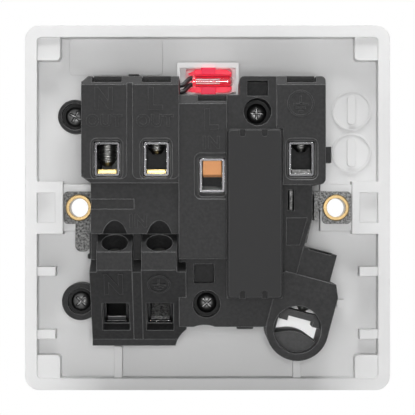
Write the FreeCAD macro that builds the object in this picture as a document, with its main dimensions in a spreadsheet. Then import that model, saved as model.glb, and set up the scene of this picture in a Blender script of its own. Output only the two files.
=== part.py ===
# Switched fused connection unit for one wall box, seen in use from its rear:
# a white moulded front plate carries the black terminal housing, the rocker,
# the fuse carrier, the neon and the cord clamp.
# Frame: X to the right and Z up for someone facing the plate, +Y into the wall.
# The rear edge of the plate, which meets the wall, lies at Y = 0.
import FreeCAD, Part
import math
import os
import re
import Sketcher

V = FreeCAD.Vector
PARTS_FOLDER = "parts"
os.makedirs(PARTS_FOLDER, exist_ok=True)
doc = FreeCAD.newDocument("fused_spur_unit")


# Driving dimensions, in millimetres and degrees, in one sheet.
SIZES = [
    ("plate_side", 85.5, "side of the square front plate"),
    ("plate_depth", 8.5, "front face to wall"),
    ("plate_wall", 2.5, "thickness of the front face"),
    ("rim_wall", 2.75, "thickness of the plate's rim"),
    ("plate_round", 3.4, "outline corners of the plate"),
    ("front_round", 1.5, "rounded front edge"),
    ("fixing_pitch", 60.3, "distance between the two fixing holes"),
    ("eyelet_bore", 2.2, "radius of the fixing hole"),
    ("eyelet_wall", 0.4, "tube wall of the brass eyelet"),
    ("eyelet_flange", 3.1, "radius of the flared rear end"),
    ("eyelet_lip", 0.6, "thickness of the flare"),
    ("sink_radius", 3.9, "countersink for the fixing screw's head"),
    ("boss_side", 5.4, "square ejector bosses in the corners"),
    ("boss_drop", 1.0, "bosses lie this far inside the rim"),
    ("ledge_half", 6.15, "half height of the side ledges"),
    ("ledge_pocket", 3.5, "half height of the pocket in a side ledge"),
    ("ledge_notch", 4.3, "depth of that pocket from the rim inwards"),
    ("strap_gauge", 0.9, "sheet of the earth straps"),
    ("strap_level", -0.5, "rear face of the straps' tabs"),
    ("strap_bed", 5.5, "half height of the bed under a tab"),
    ("tab_half", 3.8, "half height of a strap tab"),
    ("tab_near", 3.25, "from the fixing hole to the inner end of a tab"),
    ("tab_far", 3.6, "from the fixing hole to the outer end of a tab"),
    ("leg_low", -10.3, "lower end of the left strap's leg"),
    ("leg_near", 2.55, "from the fixing hole to the inner edge of the leg"),
    ("leg_far", 0.85, "from the fixing hole to the outer edge of the leg"),
    ("piece_gap", 0.15, "slip clearance between fitted pieces"),
    ("move_gap", 0.3, "clearance beside moving pieces"),
    ("shaft_gap", 0.05, "radial clearance of shafts and threads"),
    ("block_level", 20.0, "rear face of the three outgoing terminal blocks"),
    ("live_level", 19.2, "rear face of the incoming live block"),
    ("middle_level", 17.6, "rear face between the blocks and the towers"),
    ("post_level", 18.4, "rear face of the upper screw post and the cover's seat"),
    ("cover_level", 20.8, "rear face of the fuse cover"),
    ("lower_level", 15.0, "rear face of the lower panel"),
    ("outlet_level", 16.0, "rear face of the cord outlet"),
    ("column_level", 14.0, "rear face of the column beside the fuse"),
    ("inner_level", 8.0, "roof of the switch space"),
    ("out_left", 28.3, "outer side of the outgoing pair block"),
    ("out_right", 6.43, "inner side of the outgoing pair block"),
    ("out_top", 29.6, "top of the outgoing blocks"),
    ("out_low", 5.6, "lower end of the outgoing pair block"),
    ("top_chamfer", 2.0, "sloped top edge of the blocks"),
    ("live_top", 25.4, "top of the incoming live block"),
    ("live_right", -4.3, "side of that block beside the fuse cover"),
    ("live_low", -11.5, "lower end of that block"),
    ("side_left", 26.3, "outer side of the housing"),
    ("post_left", -7.2, "side of the upper screw post"),
    ("post_right", -15.5, "side of the post beside the earth block"),
    ("earth_right", -26.5, "outer side of the earth block"),
    ("earth_low", 5.2, "lower end of the earth block"),
    ("column_right", -23.8, "outer side of the column"),
    ("column_bend", -2.3, "height where the column's side turns in"),
    ("column_foot", -22.0, "column side at its foot"),
    ("column_low", -8.5, "height of the column's foot"),
    ("housing_low", -27.0, "lower edge of the housing"),
    ("gusset_run", 2.0, "lower panel into the cord outlet's side"),
    ("nub_x", -8.5, "nub on the lower edge"),
    ("nub_half", 1.9, "nub on the lower edge"),
    ("nub_drop", 0.6, "nub on the lower edge"),
    ("cover_left", -4.4, "side of the fuse cover"),
    ("cover_right", -16.85, "other side of the fuse cover"),
    ("cover_top", 17.7, "top of the fuse cover"),
    ("cover_low", -20.4, "lower end of the fuse cover"),
    ("cover_round", 1.0, "corners of the cover"),
    ("bay_wall", 1.25, "wall round the fuse bay"),
    ("notch_width", 1.25, "screwdriver notches in the cover"),
    ("notch_depth", 1.75, "length of those notches"),
    ("notch_offset", 2.5, "notches either side of the cover's middle"),
    ("wall", 1.4, "side walls of the housing"),
    ("cage_width", 5.6, "terminal cage, across"),
    ("cage_height", 7.6, "terminal cage, along its screw"),
    ("cage_length", 6.6, "terminal cage, along the wire"),
    ("cage_wall", 0.5, "sheet of the cages"),
    ("thread_radius", 2.0, "terminal screws"),
    ("thread_length", 8.6, "terminal screw below its head"),
    ("head_radius", 2.65, "head of a terminal screw"),
    ("head_height", 2.2, "height of that head"),
    ("bore_radius", 3.0, "screwdriver bores"),
    ("slot_width", 6.6, "screwdriver mouths in the top edges"),
    ("slot_deep", 6.0, "length of those mouths"),
    ("window_width", 6.2, "wire windows"),
    ("window_height", 8.2, "wire windows, along the screw"),
    ("window_deep", 1.8, "plastic in front of a cage"),
    ("window_round", 0.9, "corners of the wire windows"),
    ("window_rim", 0.55, "shallow rim round the outgoing windows"),
    ("feed_window_top", 11.4, "incoming live window"),
    ("feed_window_low", 2.5, "incoming live window"),
    ("feed_rim", 0.9, "shallow rim round that window"),
    ("rim_sink", 0.3, "depth of those rims"),
    ("bar_width", 4.2, "busbars"),
    ("bar_gauge", 0.95, "sheet of the busbars"),
    ("neutral_x", 22.6, "outgoing neutral terminal"),
    ("line_x", 11.5, "outgoing live terminal"),
    ("earth_x", -21.1, "outgoing earth terminal"),
    ("out_height", 10.95, "middle of the outgoing cages"),
    ("feed_x", -1.05, "incoming live terminal"),
    ("feed_height", 7.3, "middle of the incoming live cage"),
    ("feed_deep", 1.9, "incoming live cage below its block's face"),
    ("tower_tilt", 38, "lean of the two angled terminals"),
    ("tower_top", -5.9, "upper end of the towers"),
    ("tower_peak", 20.0, "rearmost edge of the towers"),
    ("tower_edge", -9.9, "height of that edge"),
    ("tower_step", -14.4, "where the towers' sloping face starts"),
    ("tower_low", -30.3, "lower end of the sloping face"),
    ("tower_lip", 1.5, "height of the lip below it"),
    ("tower_inner", 4.85, "inner side of the tower block"),
    ("tower_left", 26.5, "outer side of the tower block"),
    ("tower_neutral", 20.9, "incoming neutral terminal"),
    ("tower_earth", 10.85, "incoming earth terminal"),
    ("tower_width", 8.0, "each tower's width"),
    ("tower_shoulder", 13.8, "level of the block beside the towers"),
    ("tower_cage_y", 6.9, "tower cage's middle, into the wall"),
    ("tower_cage_z", -21.4, "tower cage's middle, height"),
    ("valley_width", 2.1, "rib between the towers"),
    ("lug_radius", 3.96, "upper fixing lug"),
    ("lug_x", 30.85, "upper fixing lug"),
    ("lug_z", 21.2, "upper fixing lug"),
    ("foot_radius", 4.4, "lower fixing lug"),
    ("foot_x", 29.5, "lower fixing lug"),
    ("foot_z", -21.8, "lower fixing lug"),
    ("post_x", -11.25, "upper inner screw"),
    ("post_z", 21.6, "upper inner screw"),
    ("low_x", 0.2, "lower inner screw"),
    ("low_z", -21.8, "lower inner screw"),
    ("lug_level", 3.0, "rear face of the lugs"),
    ("well_radius", 3.1, "sunken bores above the case screws"),
    ("pillar_radius", 2.4, "plate pillars that take the case screws"),
    ("pillar_level", -2.0, "rear ends of those pillars"),
    ("case_thread", 1.2, "case screws"),
    ("case_head", 2.25, "head of a case screw"),
    ("case_head_height", 1.6, "height of that head"),
    ("case_length", 3.4, "case screw in its pillar"),
    ("arc_x", 0.7, "centre of the cut-out in the lower edge"),
    ("arc_z", -33.4, "centre of the cut-out"),
    ("arc_radius", 6.85, "radius of the cut-out"),
    ("outlet_x", -20.3, "cord outlet"),
    ("outlet_z", -27.6, "cord outlet"),
    ("outlet_ring", 7.05, "outside of the cord outlet's ring"),
    ("outlet_bore", 5.4, "hole of the cord outlet"),
    ("outlet_collar", 5.0, "full round length of that hole"),
    ("clamp_lean", 15, "lean of the cord clamp"),
    ("clamp_shift", -0.5, "clamp screw beside the outlet's middle"),
    ("clamp_half", 4.8, "half width of the moving jaw"),
    ("jaw_edge", 2.35, "moving jaw above the outlet's middle"),
    ("jaw_height", 1.55, "moving jaw along its travel"),
    ("jaw_tab", 1.15, "tabs below the jaw's edge"),
    ("jaw_tab_width", 1.9, "tabs of the jaw"),
    ("jaw_deep", 9.0, "moving jaw into the housing"),
    ("clamp_top", 8.3, "upper end of the jaw's space"),
    ("clamp_low", -2.2, "lower end of the jaw's space"),
    ("clamp_hump", 1.0, "rise of the fixed jaw"),
    ("clamp_plate", 1.7, "threaded wall above the jaw"),
    ("clamp_thread", 1.6, "clamp screw"),
    ("clamp_head", 2.6, "head of the clamp screw"),
    ("clamp_head_height", 2.2, "height of that head"),
    ("clamp_head_at", 13.6, "head above the outlet's middle"),
    ("tower_reach", 18.6, "top of the clamp screw's tower"),
    ("tower_half", 3.9, "half width of that tower"),
    ("clamp_level", 14.7, "rear face of that tower"),
    ("clamp_mid", 5.6, "depth of the clamp screw"),
    ("ledge_at", 12.1, "top of the outlet block above its middle"),
    ("outlet_half", 5.9, "half width of that ledge"),
    ("rocker_x", 11.0, "rocker"),
    ("rocker_z", -3.0, "rocker"),
    ("rocker_width", 13.6, "rocker"),
    ("rocker_height", 22.6, "rocker"),
    ("rocker_pivot", -4.4, "rocker's axis, into the wall"),
    ("rocker_nose", 1.1, "rocker in front of the plate at its middle"),
    ("rocker_dip", 1.2, "hollow of its front face"),
    ("rocker_wall", 1.6, "shell of the rocker"),
    ("rocker_lean", 7, "lean of the rocker when off"),
    ("pivot_radius", 1.2, "rocker's trunnions"),
    ("pivot_length", 1.3, "rocker's trunnions"),
    ("ear_wall", 1.6, "plate's ears beside the rocker"),
    ("pole_half", 4.5, "each pole from the rocker's middle"),
    ("plunger_radius", 1.4, "spring plungers"),
    ("plunger_reach", 7.6, "plunger tip from the rocker's axis"),
    ("plunger_length", 6.4, "spring plungers"),
    ("spring_wire", 0.3, "plunger springs"),
    ("lever_length", 16.0, "contact levers"),
    ("lever_width", 4.0, "contact levers"),
    ("lever_gauge", 0.8, "contact levers"),
    ("lever_lean", 5, "lean of the levers when off"),
    ("contact_radius", 1.1, "contact heads"),
    ("contact_height", 0.6, "contact heads"),
    ("fuse_x", -10.6, "fuse"),
    ("fuse_z", -1.35, "fuse"),
    ("fuse_y", 3.2, "fuse axis, into the wall"),
    ("fuse_length", 25.4, "fuse"),
    ("fuse_radius", 3.15, "fuse caps"),
    ("fuse_cap", 6.0, "length of a fuse cap"),
    ("tube_step", 0.25, "ceramic body below its caps"),
    ("carrier_width", 11.0, "fuse carrier's front"),
    ("carrier_height", 34.0, "fuse carrier's front"),
    ("carrier_face", 2.2, "fuse carrier's front"),
    ("carrier_nose", 0.8, "carrier in front of the plate"),
    ("carrier_wall", 1.0, "cheeks that hold the fuse"),
    ("clip_gauge", 0.5, "fuse clips"),
    ("clip_length", 4.2, "fuse clips"),
    ("neon_x", 0.6, "neon"),
    ("neon_z", 29.65, "neon"),
    ("lens_radius", 3.3, "neon lens"),
    ("lens_nose", 0.6, "lens in front of the plate"),
    ("frame_wide", 14.6, "frame round the neon"),
    ("frame_tall", 7.6, "frame round the neon"),
    ("frame_wall", 0.8, "frame round the neon"),
    ("holder_length", 10.2, "neon holder"),
    ("holder_height", 5.3, "neon holder"),
    ("holder_deep", 6.0, "neon holder"),
    ("holder_band", 3.4, "thick band of the holder"),
    ("holder_swell", 0.3, "band over the holder"),
    ("tube_radius", 1.35, "neon tube"),
    ("tube_length", 9.6, "neon tube"),
    ("tube_wall", 0.3, "neon tube"),
    ("electrode_radius", 0.3, "neon electrodes"),
    ("lead_radius", 0.55, "neon leads"),
    ("rib_high", -13.9, "upper side ribs of the plate"),
    ("rib_low", -28.7, "lower side ribs of the plate"),
    ("rib_tall", 2.15, "side ribs of the plate"),
    ("rib_width", 1.85, "ribs along the lower rim"),
    ("pocket_deep", 2.2, "pockets in the side ledges"),
    ("foot_rib_left", 20.1, "left rib on the lower rim"),
    ("foot_rib_right", -21.95, "right rib on the lower rim"),
    ("foot_rib_top", 32.6, "inner end of the left rib"),
    ("foot_rib_end", 36.1, "inner end of the right rib"),
    ("stud_x", -31.5, "small stud on the floor"),
    ("stud_z", -22.65, "small stud on the floor"),
    ("stud_half", 1.0, "small stud on the floor"),
    ("panel_rise", 0.3, "raised panel on the floor"),
    ("panel_left", 32.8, "raised panel on the floor"),
    ("panel_right", 10.7, "raised panel on the floor"),
    ("panel_low", 31.45, "raised panel on the floor"),
    ("disc_x", -34.15, "dished discs"),
    ("disc_high", 23.03, "upper dished disc"),
    ("disc_low", 13.03, "lower dished disc"),
    ("disc_radius", 4.74, "dished discs"),
    ("disc_rise", 0.5, "dished discs"),
    ("pill_shift", 0.1, "pills above the discs' middles"),
    ("pill_half", 1.03, "half width of a pill"),
    ("pill_tall", 3.4, "half height of a pill"),
    ("frame_shift", 0.7, "frame beside the neon's middle"),
    ("frame_lift", 0.55, "frame above the neon's middle"),
    ("frame_swell", 0.4, "round swelling of the frame"),
    ("seat_rise", 0.6, "seat of the neon holder"),
    ("seat_drop", 0.55, "seat below the frame's middle"),
    ("rocker_play", 0.5, "room above and below the rocker"),
    ("rocker_back", 2.6, "rear edge of the rocker's shell in front of its axis"),
    ("rocker_draft", 0.5, "taper of the rocker's ends"),
    ("ear_half", 2.6, "half height of the rocker's ears"),
    ("ear_rise", 2.9, "ears behind the rocker's axis"),
    ("eyelet_stop", 2.0, "eyelet's front end behind the front face"),
    ("score_deep", 1.2, "ring scored round the knock-out"),
    ("score_wide", 0.6, "ring scored round the knock-out"),
    ("face_step", 0.4, "small steps in the rear faces"),
    ("face_band", 0.9, "lower band of the outgoing pair's face"),
    ("face_round", 1.35, "corners of the rear faces"),
    ("corner_cut", 1.4, "cut corners of the blocks"),
    ("ridge_x", 17.45, "split between the outgoing pair's faces"),
    ("ridge_half", 0.65, "split between the outgoing pair's faces"),
    ("nick_half", 1.2, "nub on the top edge"),
    ("nick_rise", 0.9, "nub on the top edge"),
    ("nick_level", 12.0, "rear end of that nub"),
    ("tab_reach", 1.6, "side tab of the earth block"),
    ("tab_low", 10.2, "side tab of the earth block"),
    ("tab_tall", 3.65, "side tab of the earth block"),
    ("pill_left", 26.15, "shallow marking groove"),
    ("pill_long", 9.6, "shallow marking groove"),
    ("pill_low", -0.3, "shallow marking groove"),
    ("pill_high", 2.25, "shallow marking groove"),
    ("column_skirt", 7.5, "column below its foot"),
    ("shoulder_rise", 2.6, "start of the towers' upper slope"),
    ("lug_seat", 0.4, "seat of the outer case screws"),
    ("post_seat", 8.0, "seat of the inner case screws"),
    ("post_slot", 26.87, "slot above the upper inner screw"),
    ("post_slot_wide", 4.65, "slots beside the inner screws"),
    ("post_slot_tall", 3.4, "slot above the upper inner screw"),
    ("low_slot_x", 0.77, "slot above the lower inner screw"),
    ("low_slot", -14.95, "slot above the lower inner screw"),
    ("low_slot_tall", 4.37, "slot above the lower inner screw"),
    ("space_top", 16.0, "upper end of the switch space"),
    ("link_right", -24.0, "link between the earth straps"),
    ("link_width", 2.2, "link between the earth straps"),
    ("link_top", 18.9, "link between the earth straps"),
    ("link_low", -20.3, "lower arm of the left strap"),
    ("link_end", 4.6, "end of the link beside the right strap"),
    ("link_lap", 8.0, "lap of the right strap over the link"),
    ("slot_roof", 9.2, "slot of the right strap in the column"),
    ("blade_x", -18.95, "blade of the right strap"),
    ("blade_low", -0.5, "blade of the right strap"),
    ("blade_top", 3.9, "blade of the right strap"),
    ("blade_gauge", 0.6, "blade of the right strap"),
    ("flange_rise", 5.0, "upstand of the right strap"),
    ("flange_half", 2.9, "upstand of the right strap"),
    ("flange_near", 0.9, "upstand beside the column"),
    ("flange_far", 1.8, "upstand beside the column"),
    ("leg_round", 1.4, "end of the left strap's leg"),
    ("tower_run", 8.3, "tower chambers in front of their cages"),
    ("window_run", 8.0, "wire windows behind their cages"),
    ("bore_run", 26.0, "screwdriver bores"),
    ("mouth_rim", 0.6, "solid rim behind a screwdriver mouth"),
    ("notch_shift", -0.27, "cover notches beside its middle"),
    ("copper_fold", 3.2, "fold of the copper bar behind its mouth"),
    ("lever_axis", 4.4, "edge that the contact levers rock on"),
    ("ridge_gap", 0.1, "levers in front of that edge"),
    ("arm_low", -13.4, "arm of the incoming neutral bar"),
    ("tongue_start", -8.0, "start of the earth tongue in its tower"),
    ("hub_reach", 4.6, "rear end of the rocker's hub"),
    ("hub_front", 4.0, "front end of the hub"),
    ("hub_half", 2.6, "half height of the hub"),
    ("plunger_well", 3.0, "depth of the plunger bores in front of the axis"),
    ("anvil_height", 1.45, "fixed contacts"),
    ("contact_low", 2.4, "lower edge of the outgoing bars"),
    ("pole_gap", 0.5, "air between the outgoing bars"),
    ("neutral_out_tip", 1.75, "screw tip above its cage floor"),
    ("line_out_tip", 4.45, "screw tip above its cage floor"),
    ("earth_out_tip", 4.95, "screw tip above its cage floor"),
    ("line_in_tip", 5.1, "screw tip above its cage floor"),
    ("neutral_in_tip", 6.0, "screw tip above its cage floor"),
    ("earth_in_tip", 6.1, "screw tip above its cage floor"),
    ("holder_shift", 1.1, "holder beside the neon's middle"),
    ("notch_run", 2.6, "notch in the holder's end"),
    ("tube_y", -1.2, "neon tube's axis, into the wall"),
    ("tube_base", 0.8, "foot of the neon tube"),
    ("tube_shift", 1.9, "neon tube beside the neon's middle"),
    ("electrode_length", 5.6, "neon electrodes"),
    ("lead_drop", 1.9, "fall of the neon leads"),
    ("lead_rise", 2.9, "rise of the neon leads"),
    ("hook_reach", 0.9, "small hook on the housing's outer side"),
    ("hook_top", -5.7, "small hook on the housing's outer side"),
    ("hook_low", -11.8, "small hook on the housing's outer side"),
    ("hook_knob", 1.3, "knob at that hook's lower end"),
    ("bed_side", 0.4, "bed beyond the inner end of a strap tab"),
    ("driver_slot", 0.7, "driver slots of the terminal and clamp screws"),
    ("point_taper", 0.6, "tapered points of those screws"),
    ("cross_long", 2.9, "cross recess of the case screws"),
    ("cross_wide", 0.55, "cross recess of the case screws"),
    ("blade_room", 0.45, "slot round the right strap's blade"),
    ("label_edge", 1.1, "flat border round the column's sunken field"),
    ("touch_gap", 0.02, "air between pieces that press on each other"),
    ("corner_run", 2.0, "cut lower corner of the outgoing pair block"),
    ("pill_round", 0.95, "round ends of the pills"),
    ("rocker_round", 0.8, "rounded ends of the rocker's face"),
    ("plunger_round", 1.0, "rounded tips of the plungers"),
    ("carrier_notch", 3.0, "finger notch below the carrier's top"),
    ("carrier_notch_half", 0.8, "half height of that notch"),
    ("holder_near", 1.2, "bevel at the holder's lead end, along it"),
    ("holder_bevel", 0.7, "bevel at the holder's lead end, across it"),
    ("holder_far", 1.6, "bevel at the holder's notched end"),
    ("holder_lip", 0.6, "wall beside the tube at the notched end"),
    ("notch_half", 0.2, "narrow end of the holder's notch"),
    ("band_shift", 0.8, "holder's band beside the neon's middle"),
    ("tube_dome", 1.2, "rounded end of the neon tube"),
    ("electrode_apart", 0.48, "electrodes either side of the tube's axis"),
    ("lead_apart", 0.77, "leads either side of their middle"),
    ("cap_sheet", 0.4, "metal of the fuse caps"),
]

sheet = doc.addObject("Spreadsheet::Sheet", "sizes")
for row, (name, value, note) in enumerate(SIZES, start=1):
    sheet.set(f"A{row}", name)
    sheet.set(f"B{row}", str(value))
    sheet.setAlias(f"B{row}", name)
    sheet.set(f"C{row}", note)
doc.recompute()



# Names that a formula may hold beside the sheet's own.
FUNCTIONS = ("sin", "cos", "tan", "sqrt", "min", "max")


def bound(text):
    """A formula on the sheet's sizes: each plain word becomes that cell."""
    def cell(match):
        word = match.group(0)
        return word if word in FUNCTIONS else "sizes." + word
    return re.sub(r"[a-z][a-z_]*", cell, str(text))


def size(text):
    """The present value of a formula, for starting points and choices."""
    return float(sheet.evalExpression(bound(text)))


class Moulding:
    """A piece joined and cut, stage by stage, from many simple solids."""

    def __init__(self, name):
        self.Name = name
        self.stages = []

    def take(self, kind, item):
        if not self.stages or self.stages[-1][0] != kind:
            self.stages.append((kind, []))
        self.stages[-1][1].append(item)
        return item

    def joined(self, items, refine):
        if len(items) == 1:
            return items[0]
        union = doc.addObject("Part::MultiFuse", self.Name + "_union")
        union.Shapes = items
        union.Refine = refine
        return union

    def finish(self):
        whole = None
        for kind, items in self.stages:
            if kind == "add":
                whole = self.joined(([whole] if whole else []) + items, True)
                continue
            rest = doc.addObject("Part::Cut", self.Name + "_rest")
            rest.Base = whole
            rest.Tool = self.joined(items, False)
            rest.Refine = True
            whole = rest
        whole.Label = self.Name
        return whole


def new_body(name):
    body = doc.addObject("PartDesign::Body", name)
    body.Label = name
    return body


def plane(body, role):
    return [item for item in body.Origin.OriginFeatures if item.Role == role][0]


def new_sketch(body, role, level):
    """A sketch whose axes are X and Z on the XZ plane, Y and Z on the YZ plane."""
    if isinstance(body, Moulding):
        sketch = doc.addObject("Sketcher::SketchObject", body.Name + "_sketch")
        upright = role == "XZ_Plane"
        turn = FreeCAD.Rotation(V(1, 0, 0), 90) if upright else FreeCAD.Rotation(V(1, 1, 1), 120)
        sketch.Placement = FreeCAD.Placement(V(), turn)
        sketch.setExpression("Placement.Base." + ("y" if upright else "x"), bound(level))
        return sketch
    sketch = body.newObject("Sketcher::SketchObject", body.Name + "_sketch")
    sketch.AttachmentSupport = [(plane(body, role), "")]
    sketch.MapMode = "FlatFace"
    sign = "-" if role == "XZ_Plane" else ""
    sketch.setExpression("AttachmentOffset.Base.z", bound(f"{sign}({level})"))
    return sketch


def draw_loop(sketch, corners):
    """A closed outline with each corner held by the sheet, and rounded
    where the corner has a third formula, its radius."""
    count = len(corners)
    points = [V(size(corner[0]), size(corner[1]), 0) for corner in corners]
    radii = [size(corner[2]) if len(corner) > 2 else 0.0 for corner in corners]
    arrive, leave, arcs = [], [], []
    for i in range(count):
        back = (points[i - 1] - points[i]).normalize()
        ahead = (points[(i + 1) % count] - points[i]).normalize()
        if not radii[i]:
            arrive.append(points[i])
            leave.append(points[i])
            arcs.append(None)
            continue
        half = back.getAngle(ahead) / 2
        run = radii[i] / math.tan(half)
        arrive.append(points[i] + back * run)
        leave.append(points[i] + ahead * run)
        centre = points[i] + (back + ahead).normalize() * (radii[i] / math.sin(half))
        turns_left = back.cross(ahead).z < 0
        ends = (arrive[i], leave[i]) if turns_left else (leave[i], arrive[i])
        angles = [math.atan2(end.y - centre.y, end.x - centre.x) for end in ends]
        arcs.append((Part.ArcOfCircle(Part.Circle(centre, V(0, 0, 1), radii[i]), *angles), turns_left))
    first = len(sketch.Geometry)
    lines = [Part.LineSegment(leave[i], arrive[(i + 1) % count]) for i in range(count)]
    sketch.addGeometry(lines + [arc[0] for arc in arcs if arc], False)
    rounded = [i for i in range(count) if arcs[i]]
    corner_marks = first + count + len(rounded)
    if rounded:
        sketch.addGeometry([Part.Point(points[i]) for i in rounded], True)
    rules, formulas = [], []
    for i in range(count):
        before = first + (i - 1) % count
        after = first + i
        if arcs[i]:
            arc = first + count + rounded.index(i)
            mark = corner_marks + rounded.index(i)
            near, far = (1, 2) if arcs[i][1] else (2, 1)
            rules.append(Sketcher.Constraint("Tangent", before, 2, arc, near))
            rules.append(Sketcher.Constraint("Tangent", after, 1, arc, far))
            rules.append(Sketcher.Constraint("PointOnObject", mark, 1, before))
            rules.append(Sketcher.Constraint("PointOnObject", mark, 1, after))
            formulas.append((len(rules), corners[i][2]))
            rules.append(Sketcher.Constraint("Radius", arc, radii[i]))
            held = mark
        else:
            rules.append(Sketcher.Constraint("Coincident", before, 2, after, 1))
            held = after
        for kind, place, formula in (("DistanceX", points[i].x, corners[i][0]),
                                     ("DistanceY", points[i].y, corners[i][1])):
            formulas.append((len(rules), formula))
            rules.append(Sketcher.Constraint(kind, -1, 1, held, 1, place))
    start = len(sketch.Constraints)
    sketch.addConstraint(rules)
    for index, formula in formulas:
        sketch.setExpression(f"Constraints[{start + index}]", bound(formula))


def draw_circle(sketch, across, up, radius):
    circle = Part.Circle(V(size(across), size(up), 0), V(0, 0, 1), size(radius))
    index = sketch.addGeometry(circle, False)
    start = len(sketch.Constraints)
    sketch.addConstraint([
        Sketcher.Constraint("DistanceX", -1, 1, index, 3, size(across)),
        Sketcher.Constraint("DistanceY", -1, 1, index, 3, size(up)),
        Sketcher.Constraint("Radius", index, size(radius)),
    ])
    for step, formula in enumerate((across, up, radius)):
        sketch.setExpression(f"Constraints[{start + step}]", bound(formula))


def block(left, right, low, top, radius=None):
    """Corners of an upright rectangle."""
    corners = [(left, low), (right, low), (right, top), (left, top)]
    if radius:
        corners = [corner + (radius,) for corner in corners]
    return corners


def around(across, up, half_wide, half_tall, radius=None):
    return block(f"({across}) - ({half_wide})", f"({across}) + ({half_wide})",
                 f"({up}) - ({half_tall})", f"({up}) + ({half_tall})", radius)


def profile(body, role, level, loops=(), circles=()):
    sketch = new_sketch(body, role, level)
    for loop in loops:
        draw_loop(sketch, loop)
    for circle in circles:
        draw_circle(sketch, *circle)
    return sketch


def drawn_out(body, kind, sketch, length):
    solid = doc.addObject("Part::Extrusion", body.Name + "_" + kind)
    solid.Base = sketch
    solid.DirMode = "Normal"
    solid.Solid = True
    solid.setExpression("LengthFwd", bound(length))
    sketch.Visibility = False
    return body.take(kind, solid)


def pad(body, sketch, length):
    """Grows a sketch: one on the XZ plane grows towards the plate's front."""
    if isinstance(body, Moulding):
        return drawn_out(body, "add", sketch, length)
    feature = body.newObject("PartDesign::Pad", body.Name + "_pad")
    feature.Profile = sketch
    feature.setExpression("Length", bound(length))
    sketch.Visibility = False
    return feature


def pocket(body, sketch, length):
    """Cuts a sketch away: one on the XZ plane is cut towards the front."""
    if isinstance(body, Moulding):
        return drawn_out(body, "cut", sketch, length)
    feature = body.newObject("PartDesign::Pocket", body.Name + "_pocket")
    feature.Profile = sketch
    feature.Reversed = True
    feature.setExpression("Length", bound(length))
    sketch.Visibility = False
    return feature


def grow(body, top, foot, loops=(), circles=()):
    """Material between two levels of the wall axis, the rear one first."""
    for loop in loops:
        feature = pad(body, profile(body, "XZ_Plane", top, [loop]), f"({top}) - ({foot})")
    for circle in circles:
        feature = pad(body, profile(body, "XZ_Plane", top, (), [circle]), f"({top}) - ({foot})")
    return feature


def cut(body, top, foot, loops=(), circles=()):
    """A hollow between two levels of the wall axis, the rear one first."""
    for loop in loops:
        feature = pocket(body, profile(body, "XZ_Plane", top, [loop]), f"({top}) - ({foot})")
    for circle in circles:
        feature = pocket(body, profile(body, "XZ_Plane", top, (), [circle]), f"({top}) - ({foot})")
    return feature


def lean_y(along, up, lean):
    return f"(({along}) * cos({lean}) + ({up}) * sin({lean}))"


def lean_z(along, up, lean):
    return f"(({up}) * cos({lean}) - ({along}) * sin({lean}))"


def set_place(item, across, deep, up, lean="0"):
    """Puts an object at a point, leaned about the X axis: its own Z axis
    tips to the rear and its own Y axis tips down."""
    item.Placement = FreeCAD.Placement(V(), FreeCAD.Rotation(V(1, 0, 0), -30))
    for axis, formula in (("x", across), ("y", deep), ("z", up)):
        item.setExpression(f"Placement.Base.{axis}", bound(formula))
    item.setExpression("Placement.Rotation.Angle", bound(f"-({lean})"))


def set_swing(item, across, deep, up, lean):
    """Puts an object at a point, leaned about the Y axis: its own Z axis
    tips towards -X."""
    item.Placement = FreeCAD.Placement(V(), FreeCAD.Rotation(V(0, 1, 0), -30))
    for axis, formula in (("x", across), ("y", deep), ("z", up)):
        item.setExpression(f"Placement.Base.{axis}", bound(formula))
    item.setExpression("Placement.Rotation.Angle", bound(f"-({lean})"))


def cutter(body, shape):
    """A box, cylinder or cone that is cut from a piece."""
    if isinstance(body, Moulding):
        return body.take("cut", doc.addObject("Part::" + shape, body.Name + "_hollow"))
    return body.newObject("PartDesign::Subtractive" + shape, body.Name + "_hollow")


def cut_box(body, across, deep, up, wide, long, tall, lean="0"):
    """Cuts a box whose middle is at a point, leaned about the X axis."""
    box = cutter(body, "Box")
    box.setExpression("Length", bound(wide))
    box.setExpression("Width", bound(long))
    box.setExpression("Height", bound(tall))
    start_y = f"({deep}) - " + lean_y(f"({long}) / 2", f"({tall}) / 2", lean)
    start_z = f"({up}) - " + lean_z(f"({long}) / 2", f"({tall}) / 2", lean)
    set_place(box, f"({across}) - ({wide}) / 2", start_y, start_z, lean)
    return box


def cut_rod(body, across, deep, up, radius, length, lean="0"):
    """Cuts a round bore that rises from a point, leaned about the X axis."""
    rod = cutter(body, "Cylinder")
    rod.setExpression("Radius", bound(radius))
    rod.setExpression("Height", bound(length))
    set_place(rod, across, deep, up, lean)
    return rod


def turned(body, outline):
    """A turned piece about its own Z axis, from (radius, height) corners."""
    sketch = new_sketch(body, "XZ_Plane", "0")
    draw_loop(sketch, outline)
    turn = body.newObject("PartDesign::Revolution", body.Name + "_turn")
    turn.Profile = sketch
    turn.ReferenceAxis = (sketch, ["V_Axis"])
    turn.Angle = 360
    sketch.Visibility = False
    return turn


def edges_at(feature, test):
    """Names of a feature's edges whose two ends pass a test."""
    doc.recompute()
    names = []
    for number, edge in enumerate(feature.Shape.Edges, start=1):
        if len(edge.Vertexes) == 2 and all(test(point.Point) for point in edge.Vertexes):
            names.append(f"Edge{number}")
    return names


def dress(body, kind, feature, names, amount):
    """A fillet or chamfer on named edges of a feature."""
    item = body.newObject("PartDesign::" + kind, body.Name + "_" + kind.lower())
    item.Base = (feature, names)
    item.setExpression("Radius" if kind == "Fillet" else "Size", bound(amount))
    return item




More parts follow.
